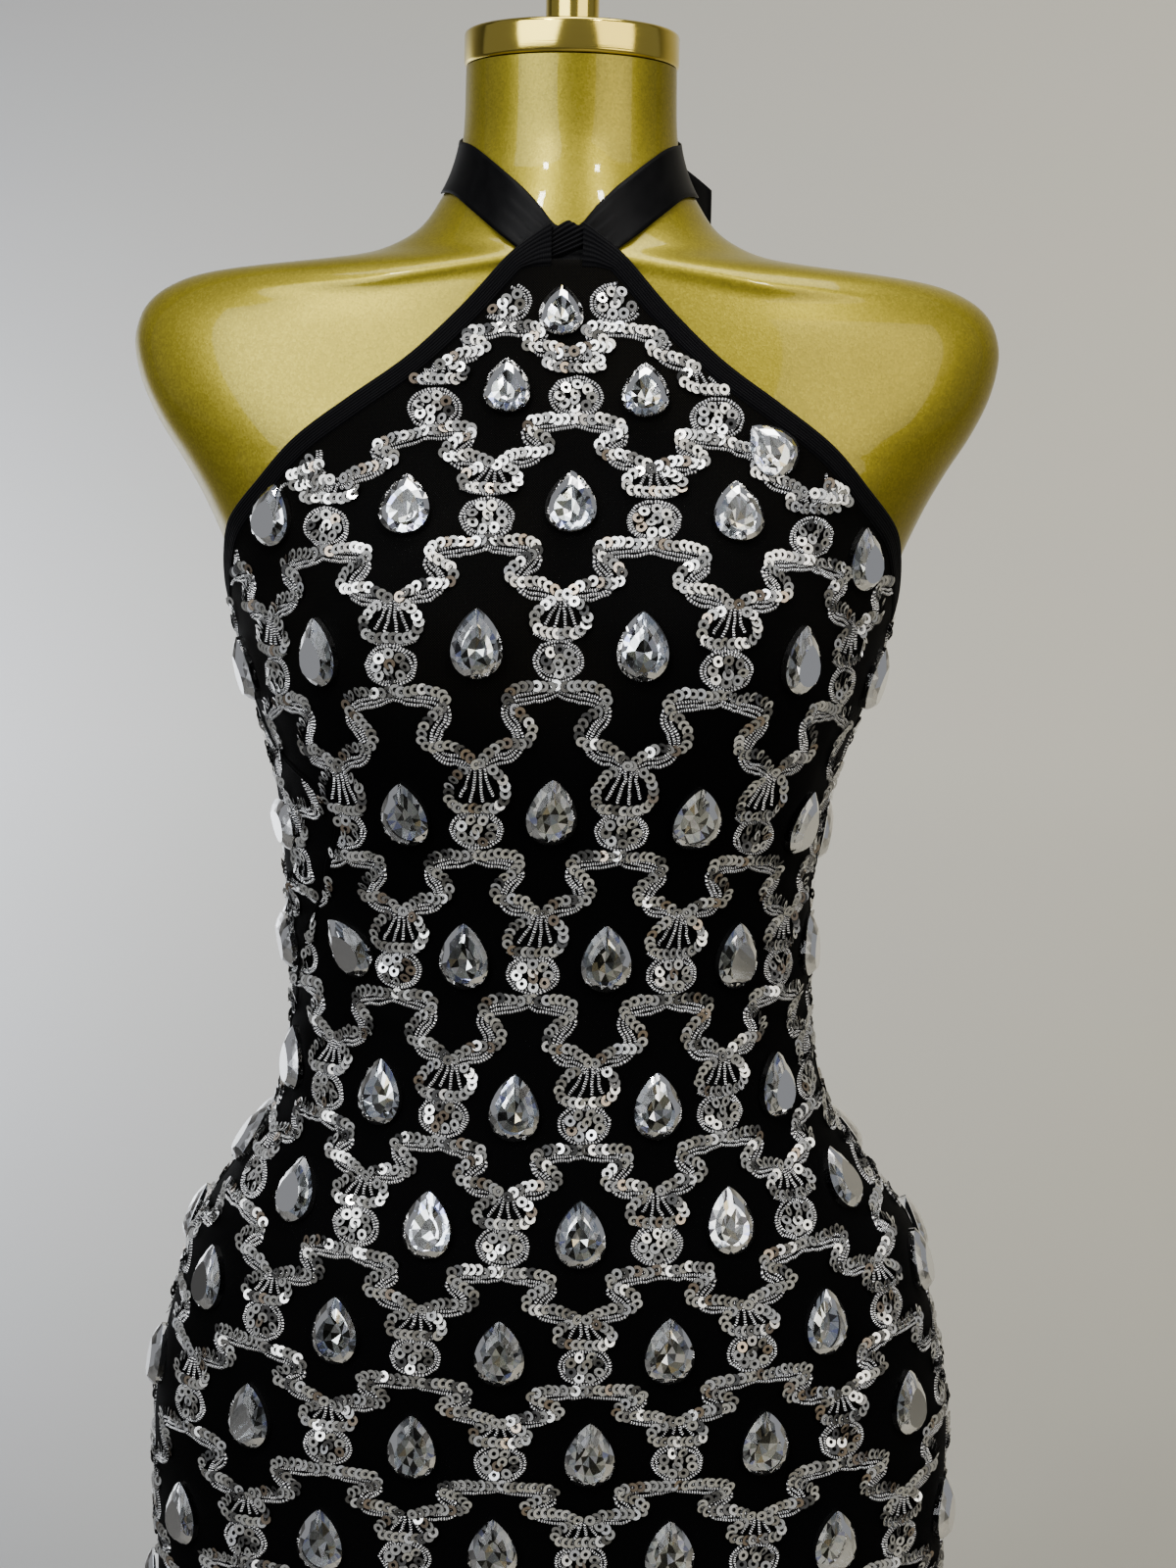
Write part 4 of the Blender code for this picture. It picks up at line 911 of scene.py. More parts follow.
ribbon_shares = np.linspace(0.0, 1.0, 13)
ribbon_angles = np.concatenate(
    [
        np.arange(-180, -PLEATED, LONG_STEP),
        np.arange(-PLEATED, PLEATED, SHORT_STEP),
        np.arange(PLEATED, 180, LONG_STEP),
    ]
)
ribbon_points, ribbon_uvs = [], []
ribbon_run = 0.0
for angle in ribbon_angles:
    top, bottom = read_rows(NECK_RIBBON, abs(angle))[:, 0]
    nearness = float(soft_step((45 - abs(angle)) / 25))
    lift = RIBBON_LIFT + (RIBBON_LIFT_AT_CASING - RIBBON_LIFT) * nearness
    gather = float(soft_step((26 - abs(angle + 3)) / 20))
    for share in ribbon_shares:
        pleat = PLEAT_DEPTH * gather * math.sin(math.tau * RIBBON_PLEATS * share + 0.05 * angle)
        ribbon_points.append(neck_point(angle, bottom + (top - bottom) * share, lift + pleat))
        ribbon_uvs.append((ribbon_run, share * RIBBON_WIDTH))
    step = LONG_STEP if abs(angle) > PLEATED else SHORT_STEP
    ribbon_run += math.radians(step) * NECK_RADIUS
ribbon_points += ribbon_points[: len(ribbon_shares)]
ribbon_uvs += [(ribbon_run, share * RIBBON_WIDTH) for share in ribbon_shares]
ribbon_faces = grid_faces(len(ribbon_angles) + 1, len(ribbon_shares))
neck_ribbon = mesh_piece("neck_tie", ribbon_points, ribbon_faces, satin, ribbon_uvs)
thicken(neck_ribbon, RIBBON_THICKNESS, 0.0)
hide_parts("neck_ribbon")
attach(neck_ribbon, "root")

CASING_EDGES = [
    # along: upper edge x and height, lower edge x and height, lift over the form
    (0.00, -0.0175, 1.3752, -0.0090, 1.3710, 0.0032),
    (0.12, -0.0152, 1.3778, -0.0066, 1.3722, 0.0044),
    (0.35, -0.0104, 1.3822, -0.0004, 1.3744, 0.0050),
    (0.60, -0.0054, 1.3864, 0.0066, 1.3772, 0.0052),
    (0.82, -0.0014, 1.3892, 0.0122, 1.3800, 0.0049),
    (0.93, 0.0004, 1.3902, 0.0148, 1.3816, 0.0036),
    (1.00, 0.0008, 1.3898, 0.0152, 1.3818, 0.0016),
]
CASING_STEPS, CASING_SHARES = 26, 29
CASING_RIBS, CASING_RIB_RISE = 7, 0.00035
CASING_ROUNDING = 0.0016
CASING_LENGTH, CASING_THICKNESS = 0.024, 0.0007
THROAT_DEPTH = 0.0665
casing_points, casing_uvs = [], []
for along in np.linspace(0.0, 1.0, CASING_STEPS):
    upper_x, upper_z, lower_x, lower_z, lift = read_rows(CASING_EDGES, along)[:, 0]
    for share in np.linspace(0.0, 1.0, CASING_SHARES):
        x = upper_x + (lower_x - upper_x) * share
        height = upper_z + (lower_z - upper_z) * share
        rib = CASING_RIB_RISE * math.sin(math.tau * CASING_RIBS * share)
        rounding = CASING_ROUNDING * (2 * share - 1) ** 6
        bearing = math.degrees(math.atan2(x, THROAT_DEPTH))
        casing_points.append(neck_point(bearing, height, lift + rib - rounding))
        casing_uvs.append((along * CASING_LENGTH, share * CASING_RIBS * TAPE_RIB))
casing_faces = grid_faces(CASING_STEPS, CASING_SHARES)
casing = mesh_piece("throat_casing", casing_points, casing_faces, elastic, casing_uvs)
thicken(casing, CASING_THICKNESS, -1.0)
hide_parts("casing_loop")
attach(casing, "root")

# The bow at the nape is tied in the same ribbon: a tight knot with its wrapped
# turns, two loops that droop a little, and two ends that hang down the back.
KNOT_HEIGHT = 1.4385
KNOT_SIZE = (0.026, 0.013, 0.021)
BOW_WIDTH = 0.0195
LOOP_OPENING, LOOP_RIPPLE = 0.0072, 0.0006
END_LIFT, END_WAVE = 0.0023, 0.0007
# Points of the knot round and along it, and of the ribbon across, round a loop, down an end.
KNOT_ROUND, KNOT_LONG, BOW_ACROSS, LOOP_ROUND, END_LONG = 41, 21, 9, 61, 70
knot_low, knot_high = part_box("bow_knot")
knot_y = (knot_low[1] + knot_high[1]) / 2
knot_points, knot_uvs = [], []
for turn in np.linspace(0.0, math.tau, KNOT_ROUND):
    for share in np.linspace(-1.0, 1.0, KNOT_LONG):
        waist = 0.80 + 0.20 * abs(share) ** 1.5
        closing = math.sqrt(max(0.0, 1 - abs(share) ** 6))
        crease = 1 + 0.035 * math.sin(9 * share + 1.5 * math.sin(turn))
        radius = waist * closing * crease
        knot_points.append(
            (
                KNOT_SIZE[0] / 2 * share,
                knot_y + KNOT_SIZE[1] / 2 * radius * math.sin(turn),
                KNOT_HEIGHT + KNOT_SIZE[2] / 2 * radius * math.cos(turn),
            )
        )
        knot_uvs.append((turn * 0.009, share * KNOT_SIZE[0] / 2))
knot_faces = grid_faces(KNOT_ROUND, KNOT_LONG)
knot = mesh_piece("nape_knot", knot_points, knot_faces, satin, knot_uvs)
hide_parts("bow_knot")

bow_pieces = [knot]
for side, length, droop in (("left", 0.045, 0.020), ("right", 0.056, 0.030)):
    sign = -1 if side == "left" else 1
    points, uvs = [], []
    for turn in np.linspace(0.0, math.tau, LOOP_ROUND)[:-1] + 0.02:
        out = (1 - math.cos(turn)) / 2
        apart = LOOP_OPENING * math.sin(turn) * math.sqrt(out)
        gathered = 0.62 + 0.38 * float(soft_step(out / 0.45))
        for share in np.linspace(-0.5, 0.5, BOW_ACROSS):
            ripple = LOOP_RIPPLE * (1 - out) * math.sin(20 * share)
            points.append(
                (
                    sign * (KNOT_SIZE[0] / 2 - 0.001 + length * out),
                    knot_y + apart * 0.92 + ripple,
                    KNOT_HEIGHT - droop * out**1.5 + share * BOW_WIDTH * gathered,
                )
            )
            uvs.append((turn * length / 3, share * BOW_WIDTH))
    points += points[:BOW_ACROSS]
    uvs += uvs[:BOW_ACROSS]
    loop_faces = grid_faces(LOOP_ROUND, BOW_ACROSS)
    loop = mesh_piece(f"bow_loop_of_{side}", points, loop_faces, satin, uvs)
    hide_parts(f"bow_loop_{side}")
    bow_pieces.append(loop)


def back_of_form(x, height):
    """Point and outward direction of the form's back at a given x."""

    def spot(at_x, at_height):
        line = outline_points(np.array([at_height]), search_turns[360:], FORM_BUST)[0]
        return Vector((at_x, np.interp(abs(at_x), line[::-1, 0], line[::-1, 1]), at_height))

    across = spot(x + 0.002, height) - spot(x - 0.002, height)
    rising = spot(x, height + 0.002) - spot(x, height - 0.002)
    return spot(x, height), rising.cross(across).normalized()


tail_top = KNOT_HEIGHT - KNOT_SIZE[2] / 2 + 0.001
for side, length, spread, slant in (
    ("left", 0.255, 0.034, 0.010),
    ("right", 0.225, 0.028, -0.008),
):
    sign = -1 if side == "left" else 1
    points, uvs = [], []
    for fall in np.linspace(0.0, 1.0, END_LONG):
        opened = float(soft_step(fall / 0.18))
        half = BOW_WIDTH / 2 * (0.55 + 0.45 * opened)
        middle = sign * (0.0062 + 0.0050 * opened + spread * fall**1.3)
        free_y = (knot_y - 0.0024) * (1 - float(soft_step(fall / 0.12)))
        for across in np.linspace(-1, 1, BOW_ACROSS):
            x = middle + across * half
            height = tail_top - length * fall**1.15
            height += slant * across * float(soft_step((fall - 0.8) / 0.2))
            rest, facing = back_of_form(x, height)
            wave = END_WAVE * math.sin(14 * fall + 1.2 * across) * (1 - across * across * 0.5)
            place = rest + facing * (END_LIFT + wave)
            place.y = max(free_y, place.y)
            points.append(place)
            uvs.append((fall * length, across * half))
    end_faces = grid_faces(END_LONG, BOW_ACROSS)
    tail = mesh_piece(f"bow_end_{side}", points, end_faces, satin, uvs)
    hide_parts(f"bow_tail_{side}")
    bow_pieces.append(tail)
for piece in bow_pieces:
    if piece is not knot:
        thicken(piece, RIBBON_THICKNESS, 0.0)
    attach(piece, "root")
for piece, cut_length in zip(bow_pieces[1:], (0.100, 0.126, 0.260, 0.230)):
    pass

# The large stones: clear pear-cut glass, foiled behind, one in each open cell of the
# trellis and glued to the mesh. A stone has a ring of small facets round its girdle
# and a broad table, through which the star of the foiled back shows.
TRELLIS = [
    # row, height of its stones, middle column's place, half pitch, rise 150 mm out
    (0, 1.3920, -0.003, 0.0200, 0.000), (1, 1.3500, -0.002, 0.0250, -0.030),
    (2, 1.3180, 0.005, 0.0300, -0.045), (3, 1.2670, 0.004, 0.0358, -0.012),
    (4, 1.2080, 0.000, 0.0367, -0.012), (5, 1.1345, -0.003, 0.0318, -0.012),
    (6, 1.0680, -0.009, 0.0310, -0.005), (7, 1.0000, -0.017, 0.0314, 0.008),
    (8, 0.9450, -0.021, 0.0338, 0.012), (9, 0.8920, -0.022, 0.0375, 0.011),
    (10, 0.8460, -0.021, 0.0396, 0.006), (11, 0.8000, -0.024, 0.0395, -0.004),
    (12, 0.7500, -0.024, 0.0400, -0.002), (26, -0.0317, -0.020, 0.0400, 0.000),
]
TRELLIS_ROWS = 24
CASING_DEPTH = 0.0045
STONE_HALF_HEIGHT = 0.0151
STONE_HALF_WIDTH = 0.0112
STONE_EDGE_MARGIN = 0.0006
# Toward the throat the stones are smaller: heights on the panel, shares of full size.
THROAT_STONE_WIDTH = ((1.267, 1.350), (1.0, 0.87))
THROAT_STONE_HEIGHT = ((1.208, 1.267, 1.350), (1.0, 0.90, 0.74))
STONE_MOST_SHIFT = 0.0120
STONE_LEAST_GAP = 1.9 * STONE_HALF_HEIGHT
STONE_SINK = 0.0002
GIRDLE_LIFT, CROWN_LIFT, TABLE_LIFT = 0.0030, 0.0050, 0.0068
STONE_FACETS = 16
# Stones that sit turned, by the left seam or beside a tape: reach, height, degrees.
BACK_TURNED_STONES = [(-0.150, 1.1200, 62), (-0.153, 1.0630, 50)]
FRONT_TURNED_STONES = [
    (-0.098, 1.0670, 38), (-0.1332, 1.2600, -14), (0.0900, 1.2915, 42),
    (0.1450, 1.2450, 9),
]


def trellis_places(rows, columns, is_back):
    """Reach from a panel's middle and height of places on the trellis."""
    height, centre, half_pitch, rise = read_rows(TRELLIS, np.ravel(rows))
    reach = (0.0 if is_back else centre) + np.ravel(columns) * half_pitch
    return reach, height + rise * (reach / 0.150) ** 2


def inside_front(reach, height):
    """How far places lie inside the front panel, in metres."""
    left = reach - front_edge(height, left_seam, -1)
    right = front_edge(height, right_seam, 1) - reach
    taped = height > SEAM_TOP
    # Beside a slanting tape the way in is shorter than the reach, and starts at its edge.
    side = np.minimum(left, right) * np.where(taped, 0.72, 1.0) - np.where(taped, 0.0019, 0.0)
    return np.minimum(side, np.minimum(height - HEM, FRONT_TOP - CASING_DEPTH - height))


def inside_back(reach, height):
    """How far places lie inside the back panel, by reach from the centre back."""
    right = reach + girth(height) / 2 - right_seam(height)
    left = left_seam(height) + girth(height) / 2 - reach
    top = read_rows(BACK_EDGE, np.abs(reach))[0] - TAPE_WIDTH - height
    return np.minimum(np.minimum(left, right), np.minimum(height - HEM, top * 0.85))


def pear(turns, scale, drop=0.0):
    """Outline of a pear cut, point up: across and up at each turn from its point."""
    across = STONE_HALF_WIDTH * 1.19 * np.sin(turns) * np.abs(np.sin(turns / 2)) ** 0.6
    up = STONE_HALF_HEIGHT * np.cos(turns)
    return across * scale, up * scale - drop


def stone_places(inside, is_back, turned):
    """Reach from a panel's middle, height and tilt of the stones that fit a panel."""
    placed = [(reach, height, math.radians(tilt)) for reach, height, tilt in turned]
    rim_across, rim_up = pear(np.linspace(0, math.tau, 16, endpoint=False), 1.0)
    for row in range(1, TRELLIS_ROWS + 1):
        for column in range(-8, 9):
            if (row + column) % 2 == 0:
                continue
            reach, height = (float(v[0]) for v in trellis_places(row, column, is_back))
            near = (math.dist((reach, height), other[:2]) for other in placed[: len(turned)])
            if any(distance < STONE_LEAST_GAP for distance in near):
                continue
            # A stone that would reach past the panel's edge is set further in, if it can be.
            for shift in np.linspace(0, STONE_MOST_SHIFT, 7):
                moved = reach - math.copysign(shift, reach)
                if inside(moved + rim_across, height + rim_up).min() > STONE_EDGE_MARGIN:
                    placed.append((moved, height, 0.0))
                    break
    return placed


def stone_ring(count, start, scale, drop, lift):
    """A ring of points on a stone, each of (across, up, out)."""
    turns = np.arange(count) * math.tau / count + start
    return np.stack([*pear(turns, scale, drop), np.full(count, lift)], axis=-1)


def stone_meshes():
    """One stone's glass and one stone's foiled back, as points (across, up, out)."""
    n, half_step = STONE_FACETS, math.pi / STONE_FACETS
    glass = np.concatenate(
        [
            stone_ring(2 * n, 0.0, 1.0, 0.0, GIRDLE_LIFT),
            stone_ring(2 * n, 0.0, 1.0, 0.0, 0.0),
            stone_ring(n, half_step, 0.84, 0.0008, CROWN_LIFT),
            stone_ring(n, 0.0, 0.62, 0.0020, TABLE_LIFT),
        ]
    )
    foil = np.concatenate(
        [
            stone_ring(2 * n, 0.0, 0.985, 0.0, GIRDLE_LIFT - 0.0004),
            stone_ring(n, half_step, 0.72, 0.0008, 0.0016),
            stone_ring(n // 2, 0.0, 0.34, 0.0022, 0.0022),
            np.array([[0.0, -0.0030, 0.0004]]),
        ]
    )
    glass_faces, foil_faces = [], []
    for k in range(n):
        ring, after = [2 * k, 2 * k + 1, (2 * k + 2) % (2 * n)], (k + 1) % n
        for a, b in ((ring[0], ring[1]), (ring[1], ring[2])):
            glass_faces += [(2 * n + a, 2 * n + b, b), (2 * n + a, b, a), (a, b, 4 * n + k)]
            foil_faces += [(a, b, 2 * n + k)]
        glass_faces += [(4 * n + k, ring[2], 4 * n + after)]
        glass_faces += [(4 * n + k, 5 * n + after, 5 * n + k)]
        glass_faces += [(4 * n + k, 4 * n + after, 5 * n + after)]
        foil_faces += [(2 * n + k, ring[2], 2 * n + after)]
    glass_faces += [(5 * n, 5 * n + k, 5 * n + k + 1) for k in range(1, n - 1)]
    for k in range(n // 2):
        heart, after = 3 * n + k, 3 * n + (k + 1) % (n // 2)
        belt = [2 * n + 2 * k, 2 * n + 2 * k + 1, 2 * n + (2 * k - 1) % n]
        foil_faces += [(belt[2], belt[0], heart), (belt[0], after, heart)]
        foil_faces += [(belt[0], belt[1], after), (heart, after, 3 * n + n // 2)]
    return glass, np.array(glass_faces), foil, np.array(foil_faces)


glass_points, glass_faces, foil_points, foil_faces = stone_meshes()
clear_glass = new_material(
    "clear_glass", (0.97, 0.98, 1.0), 0.0, 0.0, Transmission_Weight=1.0, IOR=1.50
)
polish = add_node(clear_glass, "ShaderNodeTexNoise", Scale=60.0, Detail=2.0)
add_bump(clear_glass, polish.outputs["Fac"], 0.00002, 0.1)
foil = new_material("stone_foil", (0.80, 0.82, 0.86), 1.0, 0.10)
# Each facet's foil colour is painted reflection, read from its faces, with a faint wear over it.
foil_painted_reflection = add_node(foil, "ShaderNodeAttribute", attribute_name="tint").outputs["Color"]
foil_wear = add_node(foil, "ShaderNodeTexNoise", Scale=420.0, Detail=2.0).outputs["Color"]
set_input(foil, "Base Color", multiply_colours(foil, 0.20, foil_painted_reflection, foil_wear))
# Painted reflections of the foil's facets: white glints, greys, dark facets, blue-violet fire
# and, in the star, gold-brown reflections of the form.
RIM_PAINTED_REFLECTIONS = [
    # colour, share of the facets
    ((0.92, 0.96, 1.00), 0.42),
    ((0.66, 0.72, 0.82), 0.22),
    ((0.46, 0.50, 0.80), 0.10),
    ((0.30, 0.32, 0.34), 0.14),
    ((0.06, 0.06, 0.07), 0.12),
]
STAR_PAINTED_REFLECTIONS = [
    ((0.95, 0.96, 0.98), 0.20),
    ((0.62, 0.64, 0.62), 0.32),
    ((0.36, 0.37, 0.35), 0.18),
    ((0.05, 0.05, 0.04), 0.22),
    ((0.52, 0.46, 0.32), 0.08),
]


def choose_tints(chooser, tints, count):
    """Colours picked from a table of (colour, share)."""
    chosen = chooser.choice(len(tints), count, p=[share for _, share in tints])
    return np.array([colour for colour, _ in tints])[chosen]


def set_tints(piece, colours, corners):
    """Give each face a colour of its own, for its material to read."""
    layer = piece.data.color_attributes.new("tint", "FLOAT_COLOR", "CORNER")
    colours = np.concatenate([colours, np.ones((len(colours), 1))], axis=1)
    layer.data.foreach_set("color", np.repeat(colours, corners, axis=0).ravel())


def place_copies(points, faces, spots, along, up, out):
    """Copies of one small mesh, each at a spot with its own three directions."""
    copies = spots[:, None, :] + points[None, :, 0:1] * along[:, None, :]
    copies = copies + points[None, :, 1:2] * up[:, None, :]
    copies = copies + points[None, :, 2:3] * out[:, None, :]
    shifts = np.arange(len(spots))[:, None, None] * len(points)
    return copies.reshape(-1, 3), (faces[None, :, :] + shifts).reshape(-1, faces.shape[1])


PANELS = (("front", inside_front, False), ("back", inside_back, True))
random_facets = np.random.default_rng(7)
for (panel, inside, is_back), turned in zip(PANELS, (FRONT_TURNED_STONES, BACK_TURNED_STONES)):
    # The back's turned stones are given by reach from the centre front, as the front's.
    turned = [
        (float(from_centre_front(reach, height, is_back)), height, tilt)
        for reach, height, tilt in turned
    ]
    placed = np.array(stone_places(inside, is_back, turned))
    reach = from_centre_front(placed[:, 0], placed[:, 1], is_back)
    spots, along, up, out = on_cloth(reach, placed[:, 1], WALL - STONE_SINK)
    cosine, sine = np.cos(placed[:, 2])[:, None], np.sin(placed[:, 2])[:, None]
    along, up = along * cosine + up * sine, up * cosine - along * sine
    along = along * np.interp(placed[:, 1], *THROAT_STONE_WIDTH)[:, None]
    up = up * np.interp(placed[:, 1], *THROAT_STONE_HEIGHT)[:, None]
    points, faces = place_copies(glass_points, glass_faces, spots, along, up, out)
    stones = mesh_piece(f"pear_stones_{panel}", points, faces, clear_glass)
    stones.data.shade_flat()
    points, faces = place_copies(foil_points, foil_faces, spots, along, up, out)
    backs = mesh_piece(f"stone_foils_{panel}", points, faces, foil)
    backs.data.shade_flat()
    in_rim = np.tile(foil_faces.min(axis=1) < 2 * STONE_FACETS, len(spots))[:, None]
    rim_painted_reflections = choose_tints(random_facets, RIM_PAINTED_REFLECTIONS, len(faces))
    star_painted_reflections = choose_tints(random_facets, STAR_PAINTED_REFLECTIONS, len(faces))
    set_tints(backs, np.where(in_rim, rim_painted_reflections, star_painted_reflections), 3)
    for piece in (stones, backs):
        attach(piece, "root")

# The trellis: flat silver sequins, sewn on overlapping along branches that swing from
# each cap to the joint over the next one. Below a joint hangs a bell of sequins, and
# under the bell sits a cap, which is a small oval filled with them.
SEQUIN_RADIUS, SEQUIN_HOLE = 0.0027, 0.0008
SEQUIN_PITCH, SEQUIN_LIFT = 0.0030, 0.0014
# Each sequin leans on the next one, and sits a little off its place.
SEQUIN_LEAN, LEAN_SPREAD, SWAY_SPREAD = 16, 7, 10
SEQUIN_SPREAD = 0.00022
SEQUIN_MARGIN = 0.0012
# As shares of a row's depth: a cap under its row, and a joint under its cap.
CAP_DROP, JOINT_DROP = 0.12, 0.585
BRANCH_DROP = 0.0100
# Rings of sequins in a cap: share of its size, and how many.
CAP_RINGS = [(0.60, 8), (0.15, 2)]
# Places on a branch: share of the way over to the next cap, and down to the joint.
BRANCH = [
    (0.00, 0.00), (0.15, 0.04), (0.33, 0.01), (0.50, 0.03), (0.63, 0.12), (0.60, 0.26),
    (0.46, 0.37), (0.35, 0.50), (0.32, 0.64), (0.39, 0.75), (0.52, 0.75), (0.66, 0.74),
    (0.79, 0.81), (0.90, 0.90), (0.98, 1.00),
]
# Places on a bell: metres from its middle, and share of the way down from the joint.
BELL = [
    (-0.0050, 0.08), (-0.0098, 0.30), (-0.0122, 0.62), (-0.0098, 0.93), (-0.0040, 1.00),
    (0.0040, 1.00), (0.0098, 0.93), (0.0122, 0.62), (0.0098, 0.30), (0.0050, 0.08),
]
CAP_RADII = np.array([0.0112, 0.0086])


def smooth_line(corners, steps=12):
    """A smooth line through corners, as many points."""
    ends = np.vstack([2 * corners[0] - corners[1], corners, 2 * corners[-1] - corners[-2]])
    share = np.linspace(0.0, 1.0, steps, endpoint=False)[:, None]
    line = []
    for a, b, c, d in zip(ends, ends[1:], ends[2:], ends[3:]):
        bend, twist = 2 * a - 5 * b + 4 * c - d, 3 * b - a - 3 * c + d
        line.append(0.5 * (2 * b + (c - a) * share + bend * share**2 + twist * share**3))
    return np.concatenate([*line, corners[-1:]])


def walk_line(line, pitch, start=0.5):
    """Points a fixed pitch apart on a line, and the direction of the line there."""
    run = run_along(line)
    places = np.arange(pitch * start, run[-1], pitch)
    points, ahead, behind = (
        np.stack([np.interp(places + shift, run, line[:, k]) for k in range(2)], axis=-1)
        for shift in (0.0, pitch / 3, -pitch / 3)
    )
    return points, unit(ahead - behind)


def cap_row(row):
    """Place of a row of caps on the trellis; the one at the throat sits high."""
    return row + (CAP_DROP if row > 1 else -CAP_DROP)


def cap_middle(row, column, is_back):
    """Reach from the panel's middle and height of a cap's middle."""
    reach, height = trellis_places(cap_row(row), column, is_back)
    return np.array([reach[0], height[0]])


def branch_line(corners, row, column, side, is_back):
    """A line along a branch, from under its cap to the joint over the next one."""
    corners = np.array(corners)
    above, below = (trellis_places(row + step, column, is_back)[1] for step in (0, 1))
    start = cap_row(row) + BRANCH_DROP / (above - below)
    joint = cap_row(row) + JOINT_DROP * (cap_row(row + 1) - cap_row(row))
    rows = start + corners[:, 1] * (joint - start)
    places = trellis_places(rows, column + side * corners[:, 0], is_back)
    return smooth_line(np.stack(places, axis=-1))


def bell_line(corners, row, column, is_back):
    """A line in the bell over a cap, from the joint down."""
    corners = np.array(corners)
    middle = cap_middle(row, column, is_back)
    joint_row = cap_row(row) - (1 - JOINT_DROP) * (cap_row(row) - cap_row(row - 1))
    joint = np.concatenate(trellis_places(joint_row, column, is_back))
    bottom = middle + np.array([0.0, np.interp(middle[1], [1.13, 1.22], [0.0102, 0.0125])])
    line = joint + (bottom - joint) * corners[:, 1:]
    return smooth_line(line + corners[:, :1] * np.array([1.0, 0.0]))


def trellis_caps(is_back):
    """Row, column and the middle (reach, height) of every cap on the trellis."""
    for row in range(1, TRELLIS_ROWS + 1):
        for column in range(-9, 10):
            if (row + column) % 2 == 0:
                yield row, column, cap_middle(row, column, is_back)


sequin_turns = np.arange(8) * math.tau / 8
sequin_rim = np.stack([np.sin(sequin_turns), np.cos(sequin_turns), 0 * sequin_turns], axis=-1)
sequin_points = np.concatenate([sequin_rim * SEQUIN_RADIUS, sequin_rim * SEQUIN_HOLE])
sequin_faces = np.array([(k, k + 8, (k + 1) % 8 + 8, (k + 1) % 8) for k in range(8)])
# Each sequin is given a grey at random: their own tones, with a few painted white glints among
# them.
SEQUIN_TONES_AND_GLINTS = [
    # colour, share of the sequins
    ((0.76, 0.76, 0.74), 0.46),
    ((0.88, 0.88, 0.87), 0.18),
    ((0.48, 0.47, 0.45), 0.16),
    ((0.22, 0.22, 0.22), 0.09),
    ((0.95, 0.96, 0.98), 0.05),
    ((0.44, 0.37, 0.30), 0.06),
]
silver_sequin = new_material("silver_sequin", (0.62, 0.61, 0.57), 0.76, 0.22)
# Greys from the hole to the rim, painted light and shade: painted shade round the hole, a painted
# highlight on the raised rim, and a painted shadow outside it, where the next sequin overlaps.
SEQUIN_PAINTED_SHADING = [(0.34, 0.12), (0.42, 0.86), (0.74, 0.80), (0.84, 1.0), (0.93, 0.10)]
sequin_tone_and_glint = add_node(silver_sequin, "ShaderNodeAttribute", attribute_name="tint")
from_hole = add_node(
    silver_sequin, "ShaderNodeVectorMath", cloth_place(silver_sequin)[0], operation="LENGTH"
)
sequin_painted_shading = add_ramp(
    silver_sequin,
    from_hole.outputs["Value"],
    [(place, (grey, grey, grey)) for place, grey in SEQUIN_PAINTED_SHADING],
)
sequin_tone_and_painted_light = multiply_colours(silver_sequin, 1.0, sequin_tone_and_glint.outputs["Color"], sequin_painted_shading)
set_input(silver_sequin, "Base Color", sequin_tone_and_painted_light)

loose = np.random.default_rng(11)
for panel, inside, is_back in PANELS:
    rows_sewn = []
    for row, column, middle in trellis_caps(is_back):
        lines = [branch_line(BRANCH, row, column, side, is_back) for side in (-1, 1)]
        if row > 1:
            lines.append(bell_line(BELL, row, column, is_back))
        rows_sewn += [walk_line(line, SEQUIN_PITCH) for line in lines]
        for ring_share, count in CAP_RINGS:
            turns = np.arange(count) * math.tau / count + loose.uniform(0, 1)
            ring = np.stack([np.sin(turns), np.cos(turns)], axis=-1)
            ring_directions = np.stack([np.cos(turns), -np.sin(turns)], axis=-1)
            rows_sewn.append((middle + ring * CAP_RADII * ring_share, ring_directions))
    places, directions = (np.concatenate(part) for part in zip(*rows_sewn))
    places = places + loose.normal(0, SEQUIN_SPREAD, places.shape)
    kept = inside(places[:, 0], places[:, 1]) > SEQUIN_MARGIN
    places, directions = places[kept], directions[kept]
    reach = from_centre_front(places[:, 0], places[:, 1], is_back)
    spots, along, up, out = on_cloth(reach, places[:, 1], WALL + SEQUIN_LIFT)
    ahead = along * directions[:, :1] + up * directions[:, 1:]
    beside = np.cross(out, ahead)
    lean = np.radians(loose.normal(SEQUIN_LEAN, LEAN_SPREAD, len(places)))[:, None]
    sway = np.radians(loose.normal(0, SWAY_SPREAD, len(places)))[:, None]
    facing = unit(out * np.cos(lean) + ahead * np.sin(lean) + beside * np.sin(sway))
    ahead = unit(np.cross(beside, facing))
    beside = np.cross(facing, ahead)
    points, faces = place_copies(sequin_points, sequin_faces, spots, ahead, beside, facing)
    rings = np.tile(sequin_points[:, :2] / SEQUIN_RADIUS, (len(spots), 1))
    sequins = mesh_piece(f"sequins_{panel}", points, faces, silver_sequin, rings)
    tints = choose_tints(loose, SEQUIN_TONES_AND_GLINTS, len(spots))
    set_tints(sequins, np.repeat(tints, len(sequin_faces), axis=0), 4)
    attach(sequins, "root")

